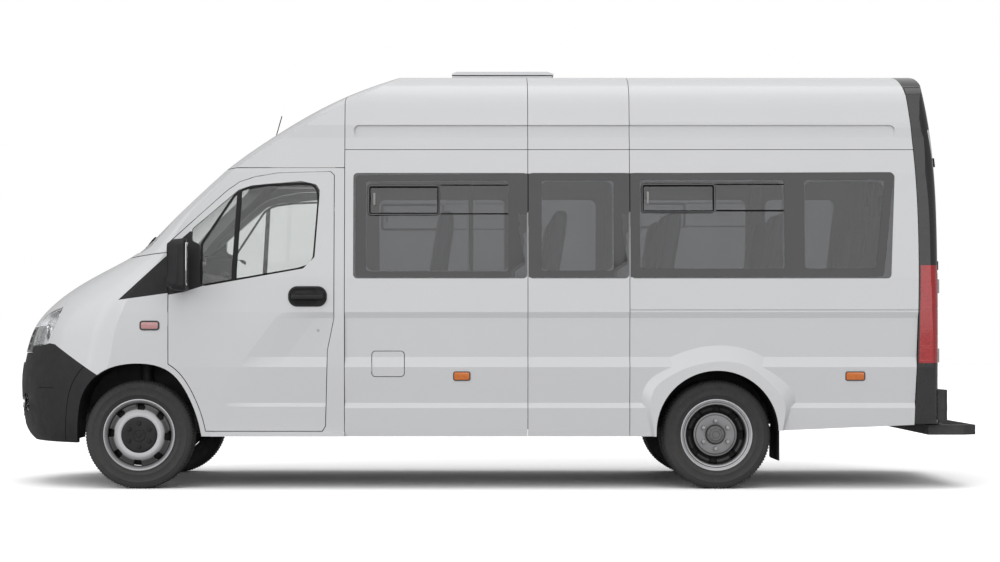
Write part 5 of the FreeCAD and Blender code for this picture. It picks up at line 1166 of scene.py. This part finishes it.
# Sections of a reflector and its bulb in millimetres, and where each stands and how large it is
BOWL = [
    (0.002, 0), (14, 1), (30, 6), (44, 15), (54, 28), (58, 40), (60, 40), (56, 27), (46, 13), (30, 3),
    (0.002, -3),
]
BULB = [(0.2, -30), (8, -28), (11, -18), (11, 0), (0.2, 0)]
BOWLS = ((-2.870, -0.640, 1.010, 1.0), (-2.800, -0.680, 1.110, 0.62), (-3.062, -0.500, 0.549, 0.86))

# Each wiper from its spindle to its tip, across and up; then the nozzles on the hood
WIPERS = (((-0.10, 1.545), (-0.62, 1.640)), ((0.52, 1.530), (0.02, 1.650)))
BLADE_HALF_WIDTH = 0.010
BLADE_TAIL = 0.06
ARM_HALF_WIDTH = 0.008
ARM_TAIL = 0.10
ARM_SHIFT = 0.05
ARM_SHARE = 0.55
WASHER_JETS = ((-2.400, -0.30), (-2.400, 0.30))
JET_LENGTH = 0.040
JET_HALF_WIDTHS = (0.012, 0.009)

# The mirror's glass, across and up, and the ribs of its shell in the photograph's pixels
MIRROR_GLASS = (-1.278, 1.312, -1.122, 1.590)
MIRROR_RIBS = ((170.6, 242.6, 173.0, 288.0), (182.0, 242.6, 183.6, 288.0), (174.6, 283.4, 181.0, 286.4))


def outer_skin(name, keep):
    """The faces of a node that can be seen from the front left, where their middle passes a test."""
    bm = bmesh.new()
    bm.from_mesh(nodes[name].data)
    bmesh.ops.remove_doubles(bm, verts=bm.verts[:], dist=0.0001)
    bm.normal_update()
    tree = BVHTree.FromBMesh(bm)
    gone = []
    for face in bm.faces:
        spot = face.calc_center_median()
        turned_away = face.normal.dot(CORNER_VIEW) < 0.05
        hidden = turned_away or tree.ray_cast(spot + face.normal * 0.0005, CORNER_VIEW)[0] is not None
        if hidden or not keep(spot):
            gone.append(face)
    bmesh.ops.delete(bm, geom=gone, context="FACES")
    return bm


def head_lamps():
    """A clear cover over a bright tray in place of the solid lamp, and the fog lamp's cover."""
    cover = outer_skin("headlamps", lambda spot: spot.y < 0 and spot.z > FOG_LAMP_TOP)
    tray = cover.copy()
    bmesh.ops.solidify(cover, geom=cover.faces[:], thickness=COVER_WALL)
    make_both("lamp_cover", cover, "lamp_glass", replaced=(("headlamps",), ()))
    bmesh.ops.translate(tray, vec=TRAY_SHIFT, verts=tray.verts[:])
    bmesh.ops.solidify(tray, geom=tray.faces[:], thickness=TRAY_WALL)
    make_both("lamp_tray", tray, "lamp_tray")
    fog = outer_skin("headlamps", lambda spot: spot.y < 0 and spot.z < FOG_LAMP_TOP)
    bmesh.ops.solidify(fog, geom=fog.faces[:], thickness=COVER_WALL)
    make_both("fog_lamp_cover", fog, "lamp_glass")


def lamp_bowls():
    """Bright bowls with bulbs behind the covers, and the fog lamp's bowl."""
    bowls = bmesh.new()
    bulbs = bmesh.new()
    for x, y, z, size in BOWLS:
        spot = Vector((x, y, z))
        turned(bowls, in_mm([(r * size, -d * size) for r, d in BOWL]), spot, "X", 32)
        turned(bulbs, in_mm([(r * size, d * size) for r, d in BULB]), spot, "X", 16)
    make_both("lamp_bowls", bowls, "chrome")
    make_both("lamp_bulbs", bulbs, "silver")


def strip(start, end, across, half):
    """The corners of a straight strip between two spots."""
    return [tuple(spot + across * reach) for spot, reach in
            ((start, -half), (end, -half), (end, half), (start, half))]


def wipers_and_washers():
    """Two wiper arms with blades at the foot of the windscreen, and the washer nozzles on the hood."""
    pane = surface_of("windscreen")
    blades, arms = [], []
    for start, end in WIPERS:
        start, end = Vector(start), Vector(end)
        run = (end - start).normalized()
        across = Vector((-run.y, run.x))
        blade = strip(start - run * BLADE_TAIL, end, across, BLADE_HALF_WIDTH)
        blades.append(laid(pane, "front", blade, 0.003, 0.012, edge=0.002, step=0.06))
        arm = strip(start - run * ARM_TAIL - across * ARM_SHIFT, start + (end - start) * ARM_SHARE, across,
                    ARM_HALF_WIDTH)
        arms.append(laid(pane, "front", arm, 0.014, 0.008, edge=0.002, step=0.06))
    make("wiper_blades", joined(*blades), "seal", "body")
    make("wiper_arms", joined(*arms), "moulding", "body")
    hood = surface_of("hood")
    front, back = JET_HALF_WIDTHS
    jets = []
    for x, y in WASHER_JETS:
        outline = [(x, y - front), (x + JET_LENGTH, y - back), (x + JET_LENGTH, y + back), (x, y + front)]
        jets.append(laid(hood, "top", outline, -0.001, 0.011, edge=0.004))
    make("washer_jets", joined(*jets), "moulding", "hood")


def mirror_parts():
    """The mirror's glass, looking back, and the ribs between shell and base."""
    head = surface_of("door_trim_left")
    glass_face = laid(head, "rear", corners(*MIRROR_GLASS), 0.001, 0.004, corner=0.025, edge=0.002)
    make_both("mirror_glass", glass_face, "mirror", CAB_DOORS)
    ribs = [laid(head, "left", block(*box), 0.0, 0.0035, corner=0.010, edge=0.0015, step=0.08)
            for box in MIRROR_RIBS]
    make_both("mirror_ribs", joined(*ribs), "moulding", CAB_DOORS)


# Rear

# The lamp's cells: between two columns and these rows in the photograph's pixels, and on its rear face
TAIL_COLUMNS_PX = (920.4, 931.0)
TAIL_ROWS_PX = ((268.0, 284.0), (285.6, 308.0), (309.6, 330.0), (331.6, 346.0), (347.6, 361.0))
TAIL_FACE_CELLS = (
    (-1.005, 0.86, -0.955, 0.98), (-1.005, 1.00, -0.955, 1.16), (-1.005, 1.18, -0.955, 1.40),
)

# What is on the rear doors, each box given across and up
REAR_DOORS = ("left_rear_door", "right_rear_door")
HINGE_HEIGHTS = (0.86, 1.45, 2.12)
HINGE_REACH = (-0.926, -0.780)
HINGE_HALF_HEIGHTS = (0.030, 0.018)
PANE_RIM = 0.004
PANE_BORDER = 0.052
PRESSED_FRAME = (-0.62, 0.90, -0.06, 1.06)
STEP_LIGHT = (-0.42, 1.085, -0.26, 1.115)
HANDLE_PLATE = (0.040, 1.17, 0.190, 1.245)
HANDLE_GRIP = (0.046, 1.195, 0.184, 1.222)
BRAKE_LAMP = (-0.17, 2.43, 0.17, 2.47)
REFLECTOR = (-0.93, 0.50, -0.83, 0.545)

# Ribs on the step, counted from its rear edge
STEP_RIBS = 9
RIB_FROM_EDGE = 0.030
RIB_PITCH = 0.024
RIB_HALF_WIDTH = 0.005
RIB_HALF_LENGTH = 0.84
TREAD_HEIGHT = 0.08

# The pressed frame on the hatch lid stands this far in from the lid's edges
HATCH_FRAME_INSET = (0.10, 0.09)


def box_inside(low, high, rim):
    """The corners of a box seen from the rear, made smaller by a rim all round."""
    return corners(low.y + rim, low.z + rim, high.y - rim, high.z - rim)


def tail_lamp_cells():
    """Moulded cells on the side and the rear face of the tail lamps."""
    lamp = surface_of("tail_lamps")
    px0, px1 = TAIL_COLUMNS_PX
    side = [laid(lamp, "left", block(px0, py0, px1, py1), 0.0, 0.0015, corner=0.008, frame_width=0.004,
                 edge=0.0006, step=0.05) for py0, py1 in TAIL_ROWS_PX]
    make_both("tail_lamp_cells", joined(*side), "red_bright")
    face = [laid(lamp, "rear", corners(*box), 0.0, 0.0015, corner=0.01, frame_width=0.005, edge=0.0006,
                 step=0.05) for box in TAIL_FACE_CELLS]
    make_both("tail_lamp_face_cells", joined(*face), "red_bright")


def rear_doors():
    """Hinges, pane borders, a bare pressed frame, a step light, the handle and the high brake lamp."""
    leaf = surface_of("rear_door_left")
    pane = surface_of("rear_glass_left")
    (outer, inner), (wide, narrow) = HINGE_REACH, HINGE_HALF_HEIGHTS
    hinges = []
    for z in HINGE_HEIGHTS:
        outline = [(outer, z - wide), (inner, z - narrow), (inner, z + narrow), (outer, z + wide)]
        hinges.append(laid(leaf, "rear", outline, 0.0, 0.012, corner=0.008, edge=0.003))
    make_both("rear_door_hinges", joined(*hinges), "moulding", REAR_DOORS)
    low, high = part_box("rear_glass_left")
    outline = box_inside(low, high, PANE_RIM)
    clear = box_inside(low, high, PANE_BORDER)
    border = laid(pane, "rear", outline, 0.0006, 0.0012, corner=0.03, holes=[clear], hole_corner=0.04,
                  step=0.12)
    make_both("rear_pane_border", border, "frit", REAR_DOORS)
    seal = laid(pane, "rear", outline, 0.0008, 0.006, corner=0.03, frame_width=0.012, edge=0.002, step=0.12)
    make_both("rear_pane_seal", seal, "seal", REAR_DOORS)
    plate = laid(leaf, "rear", corners(*PRESSED_FRAME), 0.0, 0.004, corner=0.012, frame_width=0.008,
                 edge=0.002, step=0.2)
    make("bare_pressed_frame", plate, "moulding", "left_rear_door")
    light = laid(leaf, "rear", corners(*STEP_LIGHT), 0.0, 0.022, corner=0.006, edge=0.004)
    make("rear_step_light", light, "moulding", "left_rear_door")
    right = surface_of("rear_door_right")
    dish = laid(right, "rear", corners(*HANDLE_PLATE), 0.0, 0.008, corner=0.03, frame_width=0.010, edge=0.003)
    grip = laid(right, "rear", corners(*HANDLE_GRIP), 0.001, 0.022, corner=0.010, edge=0.005)
    make("rear_door_handle", joined(dish, grip), "moulding", "right_rear_door")
    frame_skin = surface_of("rear_frame")
    brake = laid(frame_skin, "rear", corners(*BRAKE_LAMP), 0.0, 0.010, corner=0.010, edge=0.003, step=0.1)
    make("high_brake_lamp", brake, "red", "body")


def step_and_bumper():
    """Raised ribs on the step's tread, and reflectors on the bumper."""
    low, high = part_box("rear_bumper")
    bar = surface_of("rear_bumper")
    ribs = []
    for i in range(STEP_RIBS):
        x = high.x - RIB_FROM_EDGE - i * RIB_PITCH
        outline = corners(x - RIB_HALF_WIDTH, -RIB_HALF_LENGTH, x + RIB_HALF_WIDTH, RIB_HALF_LENGTH)
        rib = laid(bar, "top", outline, -0.0005, 0.003, step=0.4)
        if max(vert.co.z for vert in rib.verts) < low.z + TREAD_HEIGHT:
            ribs.append(rib)
    make("step_ribs", joined(*ribs), "moulding", "body")
    reflectors = laid(bar, "rear", corners(*REFLECTOR), 0.0, 0.006, corner=0.008, edge=0.002)
    make_both("rear_reflectors", reflectors, "red")


def roof_hatch():
    """A pressed frame on the lid."""
    low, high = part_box("hatch_lid")
    along, across = HATCH_FRAME_INSET
    outline = corners(low.x + along, low.y + across, high.x - along, high.y - across)
    pressed = laid(surface_of("hatch_lid"), "top", outline, -0.004, 0.0038, corner=0.03, frame_width=0.016,
                   edge=0.001)
    make("hatch_lid_ribs", pressed, "paint", "roof_hatch")


# Inside

# Cushions: their faces' count, the room kept round them, and how the cloth is blown up and held back
CUSHION_CUTS = 9
CUSHION_INSET = 0.010
CUSHION_GAP = 0.002
CLOTH_STEPS = 20
CLOTH_PRESSURE = 4.0
CLOTH_REACH = 0.022

# A padded block lower than this is a seat, and a taller one a back; a back's ends are this high
SEAT_BELOW = 0.3
BACK_END = 0.05

# Ceiling rails: their distance from the middle, their ends and bends from front to rear, and their heights
RAIL_SIDE = 0.42
RAIL_ENDS = (-0.70, 2.64)
RAIL_BENDS = (-0.66, 2.60)
RAIL_HEIGHT = 2.36
RAIL_FOOT_HEIGHT = 2.42
RAIL_RADIUS = 0.015


def box_islands(name):
    """The boxes of a node's separate solids."""
    bm = bmesh.new()
    bm.from_mesh(nodes[name].data)
    bmesh.ops.remove_doubles(bm, verts=bm.verts[:], dist=0.0001)
    left = set(bm.verts)
    boxes = []
    while left:
        todo = [left.pop()]
        seen = list(todo)
        while todo:
            vert = todo.pop()
            for edge in vert.link_edges:
                other = edge.other_vert(vert)
                if other in left:
                    left.discard(other)
                    todo.append(other)
                    seen.append(other)
        low = Vector([min(v.co[i] for v in seen) for i in range(3)])
        high = Vector([max(v.co[i] for v in seen) for i in range(3)])
        boxes.append((low, high, [v.co.copy() for v in seen]))
    bm.free()
    boxes.sort(key=lambda item: tuple(round(c, 3) for c in item[0]))
    return boxes


def cushion_block(size, lean):
    """A block with many faces, a little smaller than its room, that leans back with height."""
    bm = bmesh.new()
    bmesh.ops.create_cube(bm, size=1.0)
    bmesh.ops.bevel(bm, geom=bm.edges[:], offset=0.10, offset_type="OFFSET", segments=2, profile=0.5,
                    affect="EDGES", material=-1)
    bmesh.ops.subdivide_edges(bm, edges=[edge for edge in bm.edges if edge.calc_length() > 0.3],
                              cuts=CUSHION_CUTS, use_grid_fill=True)
    bmesh.ops.scale(bm, vec=[side - CUSHION_INSET * 2 for side in size], verts=bm.verts[:])
    for vert in bm.verts:
        vert.co.x += lean * vert.co.z / size.z
    return bm


def puff_up(name, bm):
    """Blows a block up a little with cloth, so that its faces crown and its sides pull in."""
    mesh = bpy.data.meshes.new(name)
    bm.to_mesh(mesh)
    piece = bpy.data.objects.new(name, mesh)
    scene = bpy.context.scene
    scene.collection.objects.link(piece)
    cloth = piece.modifiers.new("puff", "CLOTH")
    cloth.settings.use_pressure = True
    cloth.settings.uniform_pressure_force = CLOTH_PRESSURE
    cloth.settings.effector_weights.gravity = 0
    for step in range(1, CLOTH_STEPS + 1):
        scene.frame_set(step)
    view = bpy.context.evaluated_depsgraph_get()
    after = [vert.co.copy() for vert in piece.evaluated_get(view).data.vertices]
    scene.frame_set(1)
    bpy.data.objects.remove(piece)
    for vert, spot in zip(bm.verts, after):
        move = spot - vert.co
        if move.length > CLOTH_REACH:
            move *= CLOTH_REACH / move.length
        vert.co += move


def back_lean(low, high, spots):
    """How far a seat back's top stands behind its foot."""
    top = [spot.x for spot in spots if spot.z > high.z - BACK_END]
    foot = [spot.x for spot in spots if spot.z < low.z + BACK_END]
    return sum(top) / len(top) - sum(foot) / len(foot)


def reach_of(bm):
    """The two ends of a shape along each axis."""
    low = Vector([min(vert.co[i] for vert in bm.verts) for i in range(3)])
    high = Vector([max(vert.co[i] for vert in bm.verts) for i in range(3)])
    return low, high


def seats():
    """Padded cushions and backs: one of each is blown up and set on every seat."""
    boxes = box_islands("seat_cushions")
    pads = [item for item in boxes if item[1].z - item[0].z < SEAT_BELOW]
    backs = [item for item in boxes if item[1].z - item[0].z >= SEAT_BELOW]
    low, high, spots = pads[0]
    pad = cushion_block(high - low, 0.0)
    puff_up("pattern_pad", pad)
    low, high, spots = backs[0]
    size = high - low
    lean = back_lean(low, high, spots)
    back = cushion_block(Vector((size.x - abs(lean), size.y, size.z)), lean)
    puff_up("pattern_back", back)
    count = 0
    for kind, pattern, group in (("pad", pad, pads), ("back", back, backs)):
        for low, high, spots in group:
            bm = pattern.copy()
            foot, top = reach_of(bm)
            share = [min(1.0, (high[i] - low[i] - CUSHION_GAP) / (top[i] - foot[i])) for i in range(3)]
            bmesh.ops.scale(bm, vec=share, verts=bm.verts[:])
            foot, top = reach_of(bm)
            bmesh.ops.translate(bm, vec=(low + high) / 2 - (foot + top) / 2, verts=bm.verts[:])
            piece = make("seat_%s_%02d" % (kind, count), bm, "cloth", "body", ("seat_cushions",), sharp=80,
                         rounds=1)
            count += 1
        pattern.free()


def grab_rails():
    """Two rails under the ceiling, their ends bent up into it."""
    bm = bmesh.new()
    for y in (-RAIL_SIDE, RAIL_SIDE):
        path = [Vector((RAIL_ENDS[0], y, RAIL_FOOT_HEIGHT)), Vector((RAIL_BENDS[0], y, RAIL_HEIGHT)),
                Vector((RAIL_BENDS[1], y, RAIL_HEIGHT)), Vector((RAIL_ENDS[1], y, RAIL_FOOT_HEIGHT))]
        add_tube(bm, path, RAIL_RADIUS)
    make("ceiling_rails", bm, "rail", "body")


front_wheels()
rear_wheels()
mud_flap_wings()
window_band()
cab_door_glass()
handle_and_lock()
side_markers()
head_lamps()
lamp_bowls()
wipers_and_washers()
mirror_parts()
tail_lamp_cells()
rear_doors()
step_and_bumper()
roof_hatch()
seats()
grab_rails()


# Camera, lamps and floor

SENSOR_WIDTH = 36.0

# Each lamp's name, the way from the object to it, the angle of sky that it fills, and its strength
SUNS = (
    ("overhead", (0.0, -0.05, 1.0), 50, 0.98),
    ("side_fill", (-0.12, -1.0, 0.34), 90, 1.85),
    ("front_fill", (-1.0, -0.45, 0.50), 60, 0.60),
    ("far_fill", (0.3, 1.0, 0.8), 60, 0.30),
)

# The world's strength as light, in mirror images and as the background
WORLD_LIGHT = 0.24
WORLD_MIRRORED = 0.38
WORLD_SEEN = 1.0

# The floor's size, and its shade as it lights the object and as the camera sees it
FLOOR_HALF = 60
FLOOR_SHADE = 0.50
FLOOR_SEEN = 1.45


def photograph_camera():
    """The camera where the photographer stood, its picture shifted as in the photograph."""
    data = bpy.data.cameras.new("photograph_view")
    data.sensor_width = SENSOR_WIDTH
    data.lens = SENSOR_WIDTH * FOCAL_LENGTH_PX / PICTURE_WIDTH_PX
    data.shift_x = (PICTURE_MIDDLE_PX[0] - LENS_AXIS_PX[0]) / PICTURE_WIDTH_PX
    data.shift_y = (LENS_AXIS_PX[1] - PICTURE_MIDDLE_PX[1]) / PICTURE_WIDTH_PX
    camera = bpy.data.objects.new("photograph_view", data)
    x, z = at_pixel(*LENS_AXIS_PX)
    camera.location = (x, -BODY_HALF_WIDTH - CAMERA_TO_SIDE, z)
    camera.rotation_euler = (math.radians(90), 0, 0)
    bpy.context.scene.collection.objects.link(camera)
    bpy.context.scene.camera = camera


def soft_sun(name, way, angle, strength):
    """Even light from a wide patch of sky; way points from the object to the light."""
    data = bpy.data.lights.new(name, "SUN")
    data.energy = strength
    data.angle = math.radians(angle)
    lamp = bpy.data.objects.new(name, data)
    lamp.rotation_euler = Vector(way).to_track_quat("Z", "Y").to_euler()
    bpy.context.scene.collection.objects.link(lamp)


def seen_directly(tree):
    """One where the camera looks straight at a spot or through glass."""
    path = add(tree, "LightPath")
    either = add(tree, "Math", operation="MAXIMUM")
    tree.links.new(path.outputs["Is Camera Ray"], either.inputs[0])
    tree.links.new(path.outputs["Is Transmission Ray"], either.inputs[1])
    return either.outputs[0]


def choose(tree, mask, first, second):
    """The second shader where the mask is one, the first elsewhere."""
    choice = add(tree, "MixShader")
    tree.links.new(mask, choice.inputs["Fac"])
    tree.links.new(first.outputs[0], choice.inputs[1])
    tree.links.new(second.outputs[0], choice.inputs[2])
    return choice


def white_light(tree, strength):
    return add(tree, "Background", values={"Color": grey(1.0), "Strength": strength})


def studio():
    """Soft light from all round, with a brighter white world for the camera than for the object."""
    for name, way, angle, strength in SUNS:
        soft_sun(name, way, angle, strength)
    world = bpy.data.worlds.new("studio")
    bpy.context.scene.world = world
    world.use_nodes = True
    tree = world.node_tree
    tree.nodes.clear()
    sink = add(tree, "OutputWorld")
    glossy = add(tree, "LightPath").outputs["Is Glossy Ray"]
    around = choose(tree, glossy, white_light(tree, WORLD_LIGHT), white_light(tree, WORLD_MIRRORED))
    whole = choose(tree, seen_directly(tree), around, white_light(tree, WORLD_SEEN))
    tree.links.new(whole.outputs[0], sink.inputs["Surface"])


def floor():
    """A wide pale floor that the camera sees as white where no shadow falls."""
    bm = bmesh.new()
    bmesh.ops.create_grid(bm, x_segments=4, y_segments=4, size=FLOOR_HALF)
    mesh = bpy.data.meshes.new("studio_floor")
    bm.to_mesh(mesh)
    bm.free()
    plane = bpy.data.objects.new("studio_floor", mesh)
    bpy.context.scene.collection.objects.link(plane)
    material = bpy.data.materials.new("pale_floor")
    material.use_nodes = True
    tree = material.node_tree
    tree.nodes.clear()
    sink = add(tree, "OutputMaterial")
    ground = add(tree, "BsdfDiffuse", values={"Color": grey(FLOOR_SHADE)})
    seen = add(tree, "BsdfDiffuse", values={"Color": grey(FLOOR_SEEN)})
    whole = choose(tree, seen_directly(tree), ground, seen)
    tree.links.new(whole.outputs[0], sink.inputs["Surface"])
    mesh.materials.append(material)


photograph_camera()
studio()
floor()
bpy.context.scene.view_settings.view_transform = "Standard"
